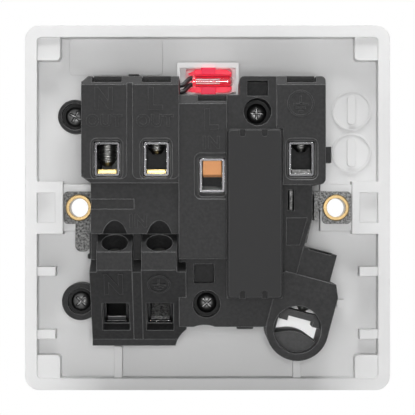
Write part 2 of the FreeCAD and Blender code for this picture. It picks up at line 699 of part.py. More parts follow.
# Levels and places that several pieces share.
FLOOR = "(plate_wall - plate_depth)"
FRONT = "(-plate_depth)"
INNER = "(plate_side / 2 - rim_wall)"
EYELET = "(fixing_pitch / 2)"
TAB_INNER = "(fixing_pitch / 2 - tab_near)"
TAB_OUTER = "(fixing_pitch / 2 + tab_far)"
LEDGE_END = "(fixing_pitch / 2 + tab_far + piece_gap)"
STRAP_FOOT = "(strap_level - strap_gauge)"
BAR_FOOT = "(inner_level - bar_gauge)"
SCREW_SPOTS = [("lug_x", "lug_z"), ("foot_x", "foot_z"), ("post_x", "post_z"), ("low_x", "low_z")]
SIDES = ("1", "-1")


# Front plate: one white moulding, a shallow tray with the ledges, pillars
# and frames that carry everything else on its inside.
def make_front_plate():
    slab = new_body("plate_slab")
    half = "(plate_side / 2)"
    shell = grow(slab, "0", FRONT, [around("0", "0", half, half, "plate_round")])
    front = size(FRONT)
    rim = edges_at(shell, lambda point: abs(point.y - front) < 1e-6)
    dress(slab, "Fillet", shell, rim, "front_round")
    body = Moulding("front_plate")
    body.take("add", slab)
    cut(body, "0", FLOOR, [around("0", "0", INNER, INNER, "boss_drop")])
    corners = []
    for across in SIDES:
        for up in SIDES:
            start, end = f"{across} * ({INNER} - boss_side)", f"{across} * ({INNER} + 0.1)"
            low, top = f"{up} * ({INNER} - boss_side)", f"{up} * ({INNER} + 0.1)"
            corners.append([(start, low, "boss_drop"), (end, low), (end, top), (start, top)])
    grow(body, "-boss_drop", FLOOR, corners)

    # Ledges for the fixing straps, each with a pocket next to the rim.
    ledges, pockets, beds, ribs = [], [], [], []
    for side in SIDES:
        ledges.append(block(f"{side} * {LEDGE_END}", f"{side} * ({INNER} + 0.1)",
                            "-ledge_half", "ledge_half"))
        pockets.append(block(f"{side} * ({INNER} - ledge_notch)", f"{side} * {INNER}",
                             "-ledge_pocket", "ledge_pocket"))
        beds.append(block(f"{side} * ({TAB_INNER} - bed_side)", f"{side} * {LEDGE_END}",
                          "-strap_bed", "strap_bed"))
        for top in ("rib_high", "rib_low"):
            ribs.append(block(f"{side} * ({INNER} - ledge_notch)", f"{side} * ({INNER} + 0.1)",
                              f"{top} - rib_tall", top))
    grow(body, "0", FLOOR, ledges)
    grow(body, STRAP_FOOT, FLOOR, beds)
    grow(body, "-boss_drop", FLOOR, ribs)
    grow(body, "-2 * boss_drop", FLOOR, [
        block("foot_rib_left", "foot_rib_left + rib_width", f"-{INNER} - 0.1", "-foot_rib_top"),
        block("foot_rib_right", "foot_rib_right + rib_width", f"-{INNER} - 0.1", "-foot_rib_end")])
    grow(body, "-3 * boss_drop", FLOOR, [
        around("stud_x", "stud_z", "stud_half", "stud_half", "stud_half / 2")])
    grow(body, f"{FLOOR} + panel_rise", FLOOR, [
        block("panel_right", "panel_left", "panel_low", f"{INNER} + 0.1", "rib_width / 2")])

    # Two dished discs, each with an upright pill.
    for height in ("disc_high", "disc_low"):
        grow(body, f"{FLOOR} + disc_rise / 2", FLOOR, circles=[("disc_x", height, "disc_radius")])
        ring = profile(body, "XZ_Plane", f"{FLOOR} + disc_rise",
                       circles=[("disc_x", height, "disc_radius"),
                                ("disc_x", height, "disc_radius - disc_rise")])
        pad(body, ring, "disc_rise")
        grow(body, f"{FLOOR} + 2 * disc_rise", FLOOR,
             [around("disc_x", f"{height} + pill_shift", "pill_half", "pill_tall", "pill_round")])

    # Frame and seat of the neon, above its round window.
    grow(body, "0", FLOOR, [around("neon_x - frame_shift", "neon_z + frame_lift",
                                   "frame_wide / 2", "frame_tall / 2", "frame_wall / 2")])
    grow(body, "0", FLOOR, circles=[("neon_x", "neon_z", "frame_tall / 2 + frame_swell")])

    # Pillars for the case screws and ears for the rocker.
    grow(body, "pillar_level", FLOOR, circles=[(across, up, "pillar_radius") for across, up in SCREW_SPOTS])
    ears = []
    for side in SIDES:
        ears.append(block(f"rocker_x + {side} * (rocker_width / 2 + move_gap)",
                          f"rocker_x + {side} * (rocker_width / 2 + move_gap + ear_wall)",
                          "rocker_z - ear_half", "rocker_z + ear_half"))
    grow(body, "rocker_pivot + ear_rise", FLOOR, ears)

    # Hollows: ledge pockets, neon seat and window, screw holes, the windows
    # of the rocker and the fuse carrier, and the rocker's bearings.
    cut(body, "0", "-pocket_deep", pockets)
    cut(body, "0", f"{FLOOR} + seat_rise", [
        around("neon_x - frame_shift", "neon_z + frame_lift - seat_drop",
               "frame_wide / 2 - frame_wall", "holder_height / 2 + holder_swell + piece_gap")])
    cut(body, f"{FLOOR} + frame_wall", f"{FRONT} - 1",
        circles=[("neon_x", "neon_z", "lens_radius + piece_gap")])
    cut(body, "pillar_level", "pillar_level - case_length - piece_gap",
        circles=[(across, up, "case_thread + shaft_gap") for across, up in SCREW_SPOTS])
    cut(body, f"{FLOOR} + 1", f"{FRONT} - 1", [
        around("rocker_x", "rocker_z", "rocker_width / 2 + move_gap", "rocker_height / 2 + rocker_play"),
        around("fuse_x", "fuse_z", "carrier_width / 2 + move_gap", "carrier_height / 2 + move_gap")])
    span = "(rocker_width + 2 * move_gap + 2 * ear_wall + 1)"
    axle = profile(body, "YZ_Plane", f"rocker_x - {span} / 2",
                   circles=[("rocker_pivot", "rocker_z", "pivot_radius + shaft_gap")])
    pocket(body, axle, span)

    # Fixing holes, stepped for the eyelets and sunk for the screw heads.
    for side in SIDES:
        cut(body, STRAP_FOOT, f"{FRONT} + eyelet_stop",
            circles=[(f"{side} * {EYELET}", "0", "eyelet_bore + eyelet_wall + shaft_gap")])
        cut(body, "0", f"{FRONT} - 1", circles=[(f"{side} * {EYELET}", "0", "eyelet_bore")])
        sink = cutter(body, "Cone")
        sink.setExpression("Radius1", bound("eyelet_bore"))
        sink.setExpression("Radius2", bound("sink_radius"))
        sink.setExpression("Height", bound("sink_radius - eyelet_bore"))
        set_place(sink, f"{side} * {EYELET}", f"{FRONT} + sink_radius - eyelet_bore", "0", "-90")

    # Knock-out for a flexible cord: a scored ring on the front, thin behind.
    score = profile(body, "XZ_Plane", f"{FRONT} + score_deep",
                    circles=[("outlet_x", "outlet_z", "outlet_bore"),
                             ("outlet_x", "outlet_z", "outlet_bore + score_wide")])
    pocket(body, score, "score_deep")
    cut(body, FLOOR, f"{FLOOR} - score_deep / 2",
        circles=[("outlet_x", "outlet_z", "outlet_bore + score_wide")])
    return body.finish()


# Rear housing: one black moulding with the terminal blocks, the two angled
# towers, the fuse bay and the cord clamp.
def swing_x(across, up):
    return f"(outlet_x + ({across}) * cos(clamp_lean) - ({up}) * sin(clamp_lean))"


def swing_z(across, up):
    return f"(outlet_z + ({across}) * sin(clamp_lean) + ({up}) * cos(clamp_lean))"


def swung(corners):
    """Corners beside and above the cord outlet, leaned with its clamp."""
    return [(swing_x(*corner[:2]), swing_z(*corner[:2])) + tuple(corner[2:]) for corner in corners]


CAGE_TOP = "(cage_height / 2)"
OUT_Y = "(block_level - window_deep - cage_length / 2)"
FEED_Y = "(live_level - feed_deep - cage_length / 2)"
# Each terminal: name, its cage's middle, lean, and the tip of its screw above
# the cage's inner floor.
TERMINALS = [
    ("neutral_out", "neutral_x", OUT_Y, "out_height", "0", "neutral_out_tip"),
    ("line_out", "line_x", OUT_Y, "out_height", "0", "line_out_tip"),
    ("earth_out", "earth_x", OUT_Y, "out_height", "0", "earth_out_tip"),
    ("line_in", "feed_x", FEED_Y, "feed_height", "0", "line_in_tip"),
    ("neutral_in", "tower_neutral", "tower_cage_y", "tower_cage_z", "tower_tilt", "neutral_in_tip"),
    ("earth_in", "tower_earth", "tower_cage_y", "tower_cage_z", "tower_tilt", "earth_in_tip"),
]


def chamfer_top(body, level, top, left, right):
    """Slopes the rear top edge of a block, between two places across."""
    wedge = profile(body, "YZ_Plane", right, [[
        (f"{level} - top_chamfer", top), (level, f"{top} - top_chamfer"),
        (f"{level} + 1", f"{top} - top_chamfer"), (f"{level} + 1", f"{top} + 1"),
        (f"{level} - top_chamfer", f"{top} + 1")]])
    pocket(body, wedge, f"({left}) - ({right})")


def make_rear_housing():
    body = Moulding("rear_housing")
    # Upper blocks: the outgoing pair, the screw post and the earth block.
    grow(body, "block_level - face_step", FLOOR, [[
        ("out_right", "out_low"), ("out_left - corner_run", "out_low"),
        ("out_left", "out_low + corner_cut"), ("out_left", "out_top - corner_cut"),
        ("out_left - corner_cut", "out_top"), ("out_right", "out_top")]])
    grow(body, "block_level", "block_level - 2 * face_step", [
        block("out_right", "ridge_x - ridge_half", "out_low + face_band", "out_top", "face_round"),
        block("ridge_x + ridge_half", "out_left", "out_low + face_band", "out_top", "face_round")])
    grow(body, "post_level", FLOOR, [[
        ("post_right", "cover_top"), ("live_right", "cover_top"), ("live_right", "live_top"),
        ("post_left", "live_top"), ("post_left", "out_top", "cover_round"), ("post_right", "out_top")]])
    grow(body, "block_level", FLOOR, [[
        ("post_right", "earth_low"), ("post_right", "out_top"),
        ("earth_right", "out_top", "cover_round"), ("earth_right", "earth_low", "face_round")]])
    grow(body, "nick_level", FLOOR, [around("ridge_x - ridge_half", "out_top", "nick_half", "nick_rise")])
    grow(body, "column_level", "inner_level", [
        block("earth_right - tab_reach", "earth_right + 0.5", "tab_low", "tab_low + tab_tall")])
    chamfer_top(body, "block_level", "out_top", "out_left + 1", "out_right")
    chamfer_top(body, "block_level", "out_top", "post_right", "earth_right - 1")

    # Middle: the incoming live block, the flat beside it and the fuse bay.
    grow(body, "live_level", FLOOR, [block("live_right", "out_right", "live_low", "live_top")])
    chamfer_top(body, "live_level", "live_top", "out_right", "live_right")
    grow(body, "middle_level", FLOOR, [block("out_right - 2", "side_left", "tower_top", "out_low")])
    grow(body, "post_level", FLOOR, [block("cover_right", "cover_left", "cover_low", "cover_top")])
    cut(body, "middle_level", "middle_level - face_step", [
        block("pill_left - pill_long", "side_left + 1", "pill_low", "pill_low + pill_high")])

    # Lower panel, column beside the fuse and cord outlet.
    grow(body, "lower_level", FLOOR, [
        block("outlet_x + outlet_ring - gusset_run", "out_right", "housing_low", "live_low")])
    grow(body, "lower_level - corner_cut", FLOOR, [
        block("nub_x - nub_half", "nub_x + nub_half", "housing_low - nub_drop", "housing_low + 1",
              "nub_drop / 2")])
    grow(body, "column_level", FLOOR, [[
        ("cover_right + 1", "earth_low"), ("column_right", "earth_low"),
        ("column_right", "column_bend"), ("column_foot", "column_low"),
        ("column_foot", "column_low - column_skirt"), ("cover_right + 1", "column_low - column_skirt")]])
    grow(body, "outlet_level", FLOOR, [swung([
        ("outlet_ring", "0"), ("outlet_ring", "ledge_at - corner_cut"), ("outlet_half", "ledge_at"),
        ("-outlet_half", "ledge_at"), ("-outlet_ring", "ledge_at - 2 * corner_cut"),
        ("-outlet_ring", "0")])])
    grow(body, "outlet_level", FLOOR, circles=[("outlet_x", "outlet_z", "outlet_ring")])
    grow(body, "clamp_level", FLOOR, [swung(block(
        "clamp_shift - tower_half", "clamp_shift + tower_half", "ledge_at - 1", "tower_reach"))])

    # Small hook on the outer side, below the strap's ledge.
    grow(body, "inner_level", "0", [
        block("side_left - 0.5", "side_left + hook_reach", "hook_low", "hook_top"),
        block("side_left - 0.5", "side_left + hook_knob", "hook_low", "hook_low + hook_knob",
              "hook_knob / 3")])

    # Towers of the two angled terminals, with a rib between them.
    face_y = "(tower_peak - face_step)"
    low_y = f"({face_y} - (tower_step - tower_low) * tan(tower_tilt))"
    base = profile(body, "YZ_Plane", "tower_inner", [[
        (FLOOR, "tower_top"), ("tower_shoulder", "tower_top"),
        ("tower_shoulder", "tower_step + shoulder_rise"), (face_y, "tower_step"),
        (low_y, "tower_low"), (low_y, "tower_low - tower_lip"), (FLOOR, "tower_low - tower_lip")]])
    pad(body, base, "tower_left - tower_inner")
    for middle in ("tower_neutral", "tower_earth"):
        tower = profile(body, "YZ_Plane", f"{middle} - tower_width / 2", [[
            ("tower_shoulder - 1", "tower_top"),
            ("tower_peak - (tower_top - tower_edge) / tan(tower_tilt)", "tower_top"),
            ("tower_peak", "tower_edge"), ("tower_peak", "tower_step + face_step"),
            (face_y, "tower_step"), ("tower_shoulder - 1", "tower_step")]])
        pad(body, tower, "tower_width")
    rib = profile(body, "YZ_Plane", "(tower_neutral + tower_earth - valley_width) / 2", [[
        (f"{face_y} - 2", "tower_step"), (f"{face_y} + face_step", "tower_step"),
        (f"{low_y} + face_step", "tower_low"), (f"{low_y} - 2", "tower_low")]])
    pad(body, rib, "valley_width")
    cut(body, "tower_peak", f"{FLOOR} - 1", circles=[("arc_x", "arc_z", "arc_radius")])

    # Fixing lugs over the plate's pillars, and the wells of the case screws.
    for across, up, radius in (("lug_x", "lug_z", "lug_radius"), ("foot_x", "foot_z", "foot_radius")):
        grow(body, "lug_level", "pillar_level", circles=[(across, up, radius)])
        cut(body, "lug_level", "lug_seat", circles=[(across, up, "well_radius")])
    for across, up in SCREW_SPOTS[2:]:
        cut(body, "block_level", "post_seat", circles=[(across, up, "well_radius")])
        cut(body, "pillar_level", f"{FLOOR} - 1", circles=[(across, up, "pillar_radius + piece_gap")])
    for across, up in SCREW_SPOTS:
        cut(body, "post_seat + 1", f"{FLOOR} - 1", circles=[(across, up, "case_thread + move_gap")])
    cut(body, "post_level", "post_level - slot_deep", [
        around("post_x", "post_slot", "post_slot_wide / 2", "post_slot_tall / 2")])
    cut(body, "lower_level", "inner_level + wall", [
        around("low_slot_x", "low_slot", "post_slot_wide / 2", "low_slot_tall / 2")])

    # Seat of the fuse cover beside the earth block.
    cut(body, "block_level + 1", "post_level", [
        block("cover_right - piece_gap", "cover_left", "cover_low", "cover_top + piece_gap")])

    # Switch space and fuse bay, open to the plate.
    cut(body, "inner_level", f"{FLOOR} - 1", [
        block("cover_right + bay_wall", "side_left - wall", "cover_low + bay_wall", "space_top")])
    cut(body, "post_level + 0.5", FLOOR, [
        block("cover_right + bay_wall", "cover_left - bay_wall",
              "cover_low + bay_wall", "cover_top - bay_wall")])
    cut(body, "strap_level + piece_gap", f"{FLOOR} - 1", [
        block("link_right - piece_gap", "side_left - wall", "space_top - 0.5", "link_top + piece_gap"),
        block("side_left - wall - 0.5", "out_left", "-tab_half - piece_gap", "tab_half + piece_gap"),
        block("link_right - piece_gap", "link_right + link_width + piece_gap",
              "earth_low", "space_top")])
    cut(body, "slot_roof", f"{FLOOR} - 1", [
        block("column_right + 1", "blade_x + 1", "blade_low - 2 * piece_gap",
              "out_height - cage_height / 2 + 1")])
    cut(body, "strap_level + strap_gauge + piece_gap", f"{FLOOR} - 1", [
        block("column_right - 1", "link_right + link_width + piece_gap", "blade_low - 2 * piece_gap",
              "link_lap + piece_gap")])
    cut(body, "strap_level + piece_gap", f"{FLOOR} - 1", [
        block("tower_earth - bar_width / 2 - piece_gap", "side_left - wall", "link_low - piece_gap",
              "cover_low + 2 * bay_wall")])
    cut(body, "column_level", "inner_level", [
        block("blade_x - blade_gauge / 2 - blade_room", "blade_x + blade_gauge / 2 + blade_room",
              "blade_low - piece_gap", "blade_top + piece_gap")])
    cut(body, "column_level", "column_level - face_step", [[
        ("cover_right - label_edge", "column_bend"), ("column_right + label_edge", "column_bend"),
        ("column_foot + label_edge", "column_low"), ("cover_right - label_edge", "column_low")]])
    cut(body, "piece_gap", f"{FLOOR} - 1", [
        block("neon_x - frame_shift - frame_wide / 2 - piece_gap",
              "neon_x - frame_shift + frame_wide / 2 + piece_gap",
              "neon_z + frame_lift - frame_tall / 2 - piece_gap", "out_top + 2")])

    # Terminal chambers: cage, wire window, screwdriver bore and mouth.
    for name, across, deep, up, lean, tip in TERMINALS:
        run = "tower_run" if lean != "0" else "(" + deep + " - inner_level)"
        long = f"(cage_length / 2 + piece_gap + {run})"
        shift = f"((cage_length / 2 + piece_gap - {run}) / 2)"
        cut_box(body, across, f"{deep} + " + lean_y(shift, "0", lean),
                f"{up} + " + lean_z(shift, "0", lean), "cage_width + 2 * piece_gap", long,
                "cage_height + 2 * piece_gap", lean)
        out = "(cage_length / 2 + window_run / 2)"
        if lean != "0":
            cut_box(body, across, f"{deep} + " + lean_y(out, "0", lean),
                    f"{up} + " + lean_z(out, "0", lean), "window_width", "window_run",
                    "window_height", lean)
        cut_rod(body, across, f"{deep} + " + lean_y("0", CAGE_TOP, lean),
                f"{up} + " + lean_z("0", CAGE_TOP, lean), "bore_radius", "bore_run", lean)
    for across, level, top in (
            ("neutral_x", "block_level", "out_top"), ("line_x", "block_level", "out_top"),
            ("earth_x", "block_level", "out_top"), ("feed_x", "live_level", "live_top")):
        deep = OUT_Y if level == "block_level" else FEED_Y
        cut_box(body, across, f"({deep} - bore_radius + {level} - mouth_rim) / 2",
                f"{top} - slot_deep / 2 + 1", "slot_width",
                f"({level} - mouth_rim - {deep} + bore_radius)", "slot_deep + 2")

    # Wire windows of the upright terminals, each in a shallow rim.
    half = "window_width / 2"
    for across in ("neutral_x", "line_x", "earth_x"):
        low, top = "out_height - window_height / 2", "out_height + window_height / 2"
        cut(body, "block_level + 1", f"{OUT_Y} + cage_length / 2", [
            block(f"{across} - {half}", f"{across} + {half}", low, top, "window_round")])
        cut(body, "block_level + 1", "block_level - rim_sink", [
            block(f"{across} - {half} - window_rim", f"{across} + {half} + window_rim",
                  f"{low} - window_rim", f"{top} + window_rim", "window_round + window_rim")])
    cut(body, "live_level + 1", f"{FEED_Y} + cage_length / 2", [
        block(f"feed_x - {half}", f"feed_x + {half}", "feed_window_low", "feed_window_top",
              "window_round")])
    cut(body, "live_level + 1", "live_level - rim_sink", [
        block("live_right - 1", f"feed_x + {half} + feed_rim", "feed_window_low - window_rim",
              "feed_window_top + feed_rim", "window_round + window_rim")])

    # Cord outlet, the jaw's space and the clamp screw's bore.
    cut(body, "outlet_level", "outlet_level - outlet_collar - 0.1",
        circles=[("outlet_x", "outlet_z", "outlet_bore")])
    reach = "(clamp_half + move_gap)"
    cut(body, "outlet_level - outlet_collar", f"{FLOOR} - 1", [swung([
        (f"clamp_shift - {reach}", "clamp_low"),
        ("clamp_shift", "clamp_low + 2 * clamp_hump", "outlet_ring"),
        (f"clamp_shift + {reach}", "clamp_low"), (f"clamp_shift + {reach}", "clamp_top"),
        (f"clamp_shift - {reach}", "clamp_top")])])
    cut(body, "clamp_level + 1", "clamp_mid", [swung(block(
        "clamp_shift - clamp_head", "clamp_shift + clamp_head",
        "tower_reach - face_step", "tower_reach + 1"))])
    for start, radius in (("clamp_top - 1", "clamp_thread + shaft_gap"),
                          ("clamp_top + clamp_plate", "clamp_head + move_gap")):
        bore = cutter(body, "Cylinder")
        bore.setExpression("Radius", bound(radius))
        bore.setExpression("Height", bound(f"tower_reach + 2 - ({start})"))
        set_swing(bore, swing_x("clamp_shift", start), "clamp_mid",
                  swing_z("clamp_shift", start), "clamp_lean")
    return body.finish()


def make_fuse_cover():
    body = new_body("fuse_cover")
    plate = grow(body, "cover_level", "post_level", [
        block("cover_right", "cover_left", "cover_low", "cover_top", "cover_round")])
    rear = size("cover_level")
    edges = edges_at(plate, lambda point: abs(point.y - rear) < 1e-6)
    dress(body, "Chamfer", plate, edges, "face_step")
    notches = []
    for offset in ("-notch_offset", "notch_offset"):
        middle = f"(cover_left + cover_right) / 2 + {offset} - notch_shift"
        for low, top in (("cover_low - 1", "cover_low + notch_depth"),
                         ("cover_top - notch_depth", "cover_top + 1")):
            notches.append(block(f"{middle} - notch_width / 2", f"{middle} + notch_width / 2", low, top,
                                 "0.4 * notch_width"))
    cut(body, "cover_level + 1", "post_level + 0.6", notches)
    return body


# Terminals: six alike, each a folded cage with a clamp screw through its roof.
def make_cage(name, across, deep, up, lean):
    body = new_body("cage_" + name)
    outer = profile(body, "XZ_Plane", "cage_length / 2", [
        around("0", "0", "cage_width / 2", CAGE_TOP, "cage_wall")])
    pad(body, outer, "cage_length")
    cut(body, "cage_length / 2 + 1", "-cage_length / 2 - 1", [
        around("0", "0", "cage_width / 2 - cage_wall", f"{CAGE_TOP} - cage_wall")])
    cut_rod(body, "0", "0", "0", "thread_radius + shaft_gap", "cage_height")
    set_place(body, across, deep, up, lean)
    return body


def make_terminal_screw(name, across, deep, up, lean, tip):
    body = new_body("screw_" + name)
    turned(body, [("0", "0"), ("thread_radius - point_taper", "0"), ("thread_radius", "point_taper"),
                  ("thread_radius", "thread_length"), ("head_radius", "thread_length"),
                  ("head_radius", "thread_length + head_height", "driver_slot / 2"),
                  ("0", "thread_length + head_height")])
    cut_box(body, "0", "0", "thread_length + head_height", "2 * head_radius + 1", "driver_slot",
            "head_height")
    rise = f"({tip} + cage_wall - {CAGE_TOP})"
    set_place(body, across, f"{deep} + " + lean_y("0", rise, lean),
              f"{up} + " + lean_z("0", rise, lean), lean)
    return body


# Busbars: strips in the roof of the switch space, folded into the cages.
def make_tongue_bar(name, across, low_edge, plate_left, plate_right):
    """A plate on the roof with a tongue that lies on a cage's floor."""
    body = new_body("bar_" + name)
    floor = f"(out_height - {CAGE_TOP} + cage_wall)"
    grow(body, "inner_level", BAR_FOOT, [
        block(plate_right, plate_left, low_edge, f"{floor} + bar_gauge")])
    grow(body, f"{OUT_Y} + cage_length / 2 - cage_wall", BAR_FOOT, [
        block(f"{across} - bar_width / 2", f"{across} + bar_width / 2", floor, f"{floor} + bar_gauge")])
    return body


def pole(side):
    return f"(rocker_x + {side} * pole_half)"


def make_line_in_bar():
    """Copper strip from the live terminal, folded down behind its mouth,
    and ending in the upper fuse clip."""
    body = new_body("bar_line_in")
    roof = f"(feed_height + {CAGE_TOP} - cage_wall)"
    tip = f"({FEED_Y} + cage_length / 2 - cage_wall / 4)"
    left, right = "feed_x + bar_width / 2", "feed_x - bar_width / 2"
    grow(body, tip, BAR_FOOT, [block(right, left, f"{roof} - bar_gauge", roof)])
    grow(body, tip, f"{tip} - bar_gauge", [block(right, left, f"{roof} - copper_fold", roof)])
    grow(body, "inner_level", BAR_FOOT, [
        block("fuse_x - bar_width / 2", left, f"{roof} - bar_width", roof)])
    cut_rod(body, "feed_x", FEED_Y, f"{roof} - bar_gauge - 1",
            "thread_radius + shaft_gap", "bar_gauge + 2")
    add_clip(body, "1")
    return body


def add_clip(body, end):
    """Two spring arms that grip one cap of the fuse."""
    middle = f"(fuse_z + {end} * (fuse_length - fuse_cap) / 2)"
    arms = []
    for side in SIDES:
        near = f"fuse_x + {side} * (fuse_radius + piece_gap)"
        arms.append(block(near, f"{near} + {side} * clip_gauge",
                          f"{middle} - clip_length / 2", f"{middle} + clip_length / 2"))
    grow(body, "inner_level", "fuse_y - fuse_radius + 2 * clip_gauge", arms)
    grow(body, "inner_level", BAR_FOOT, [
        around("fuse_x", middle, "fuse_radius + piece_gap + clip_gauge", "clip_length / 2")])


def add_ridge(body, side):
    """The knife edge that a contact lever rocks on."""
    grow(body, "inner_level", "lever_axis", [
        around(pole(side), "rocker_z", "lever_width / 2", "bar_gauge / 2")])


def make_fuse_out_bar():
    body = new_body("bar_fuse_out")
    low = "(fuse_z - fuse_length / 2 - 2 * bar_gauge)"
    grow(body, "inner_level", BAR_FOOT, [[
        ("fuse_x - bar_width / 2", low), (f"{pole('-1')} + bar_width / 2", low),
        (f"{pole('-1')} + bar_width / 2", "rocker_z + bar_gauge"),
        (f"{pole('-1')} - bar_width / 2", "rocker_z + bar_gauge"),
        (f"{pole('-1')} - bar_width / 2", f"{low} + bar_width"),
        ("fuse_x - bar_width / 2", f"{low} + bar_width")]])
    add_clip(body, "-1")
    add_ridge(body, "-1")
    return body


def tower_point(along, up):
    return (f"tower_cage_y + " + lean_y(along, up, "tower_tilt"),
            f"tower_cage_z + " + lean_z(along, up, "tower_tilt"))


CAGE_FLOOR = f"(cage_wall - {CAGE_TOP})"


def make_neutral_in_bar():
    body = new_body("bar_neutral_in")
    grow(body, "inner_level", BAR_FOOT, [[
        (f"{pole('1')} - bar_width / 2", "arm_low"), ("tower_neutral + bar_width / 2", "arm_low"),
        ("tower_neutral + bar_width / 2", "arm_low + bar_width"),
        (f"{pole('1')} + bar_width / 2", "arm_low + bar_width"),
        (f"{pole('1')} + bar_width / 2", "rocker_z + bar_gauge"),
        (f"{pole('1')} - bar_width / 2", "rocker_z + bar_gauge")]])
    mouth = "(-cage_length / 2 - cage_wall)"
    strip = profile(body, "YZ_Plane", "tower_neutral - bar_width / 2", [[
        (BAR_FOOT, "arm_low + bar_gauge"), (BAR_FOOT, "arm_low"),
        tower_point(mouth, CAGE_FLOOR), tower_point("cage_length / 2 - cage_wall", CAGE_FLOOR),
        tower_point("cage_length / 2 - cage_wall", f"{CAGE_FLOOR} + bar_gauge"),
        tower_point(f"{mouth} + bar_gauge / 2", f"{CAGE_FLOOR} + bar_gauge"),
        ("inner_level", "arm_low - bar_gauge / 3"), ("inner_level", "arm_low + bar_gauge")]])
    pad(body, strip, "bar_width")
    add_ridge(body, "1")
    return body


# Earth straps: pressed sheet under the fixing eyelets. The left one carries
# the link across to the right one, and both run into an earth terminal.
def make_left_strap():
    body = new_body("earth_strap_left")
    inner = "(side_left - wall - piece_gap)"
    grow(body, "strap_level", STRAP_FOOT, [
        block(TAB_INNER, TAB_OUTER, "-tab_half", "tab_half", "boss_drop")])
    grow(body, "strap_level", STRAP_FOOT, [
        block(f"{EYELET} - leg_near", f"{EYELET} + leg_far", "leg_low", "0", "leg_round")])
    grow(body, "strap_level", STRAP_FOOT, [[
        (f"{inner} - link_width", "link_low"), (inner, "link_low"), (inner, "-tab_half"),
        (f"{TAB_INNER} + 1", "-tab_half"), (f"{TAB_INNER} + 1", "tab_half"), (inner, "tab_half"),
        (inner, "link_top"), ("link_right", "link_top"), ("link_right", "link_end"),
        ("link_right + link_width", "link_end"), ("link_right + link_width", "link_top - link_width"),
        (f"{inner} - link_width", "link_top - link_width")]])
    grow(body, "strap_level", STRAP_FOOT, [
        block("tower_earth - bar_width / 2", f"{inner} - 1", "link_low", "link_low + link_width")])
    tongue = profile(body, "YZ_Plane", "tower_earth - bar_width / 2", [[
        tower_point("tongue_start", CAGE_FLOOR), tower_point("cage_length / 2 - cage_wall", CAGE_FLOOR),
        tower_point("cage_length / 2 - cage_wall", f"{CAGE_FLOOR} + bar_gauge"),
        tower_point("tongue_start", f"{CAGE_FLOOR} + bar_gauge")]])
    pad(body, tongue, "bar_width")
    cut(body, "0", f"{STRAP_FOOT} - 1", circles=[(EYELET, "0", "eyelet_bore + eyelet_wall + shaft_gap")])
    return body


def make_right_strap():
    body = new_body("earth_strap_right")
    grow(body, "strap_level", STRAP_FOOT, [
        block(f"-{TAB_OUTER}", f"-{TAB_INNER}", "-tab_half", "tab_half", "boss_drop")])
    grow(body, "strap_level", STRAP_FOOT, [
        block(f"-{TAB_INNER} - 1", "blade_x + blade_gauge / 2", "blade_low", "blade_top")])
    grow(body, "flange_rise", STRAP_FOOT, [
        block("column_right - flange_far", "column_right - flange_near", "-flange_half", "flange_half")])
    grow(body, "strap_level", STRAP_FOOT, [
        block("column_right - flange_far", "column_right - piece_gap", "-flange_half", "0")])
    grow(body, "flange_rise + 1", STRAP_FOOT, [[
        ("column_right - blade_gauge", "column_bend + face_step"),
        ("column_right - piece_gap", "column_bend + face_step"),
        ("column_foot - face_step", "column_low + move_gap"),
        ("column_foot - strap_gauge", "column_low + move_gap")]])
    grow(body, "column_level - face_step", STRAP_FOOT, [
        block("blade_x - blade_gauge / 2", "blade_x + blade_gauge / 2", "blade_low", "blade_top")])
    floor = f"(out_height - {CAGE_TOP} + cage_wall)"
    grow(body, "slot_roof - piece_gap", "slot_roof - piece_gap - bar_gauge", [
        block("column_right + wall", "blade_x + blade_gauge / 2", "blade_low + bar_width - strap_gauge",
              f"{floor} + bar_gauge")])
    grow(body, f"{OUT_Y} + cage_length / 2 - cage_wall", "slot_roof - piece_gap - bar_gauge", [
        block("earth_x - bar_width / 2", "earth_x + bar_width / 2", floor, f"{floor} + bar_gauge")])
    grow(body, "strap_level + strap_gauge", "strap_level", [
        block("link_right", "link_right + link_width", "blade_low", "link_lap")])
    cut(body, "0", f"{STRAP_FOOT} - 1", circles=[
        (f"-{EYELET}", "0", "eyelet_bore + eyelet_wall + shaft_gap")])
    return body


def make_eyelet(name, side):
    body = new_body("eyelet_" + name)
    stop = f"({FRONT} + eyelet_stop)"
    outer = "eyelet_bore + eyelet_wall"
    turned(body, [("eyelet_bore", f"{stop} + touch_gap"), (outer, f"{stop} + touch_gap"),
                  (outer, "strap_level"), ("eyelet_flange", "strap_level"),
                  ("eyelet_flange", "strap_level + eyelet_lip", "eyelet_wall / 2"),
                  ("eyelet_bore", "strap_level + eyelet_lip")])
    set_place(body, f"{side} * {EYELET}", "0", "0", "90")
    return body


# Case screws: from the rear through the housing into the plate's pillars.
def make_case_screw(number, across, up, seat):
    body = new_body(f"case_screw_{number}")
    shank = f"({seat} - pillar_level + case_length)"
    turned(body, [("0", f"-{shank}"), ("case_thread", f"-{shank}"), ("case_thread", "0"),
                  ("case_head", "0"), ("case_head", "case_head_height", "case_head_height / 3"),
                  ("0", "case_head_height")])
    for wide, long in (("cross_long", "cross_wide"), ("cross_wide", "cross_long")):
        cut_box(body, "0", "0", "case_head_height", wide, long, "case_head_height")
    set_place(body, across, seat, up, "90")
    return body


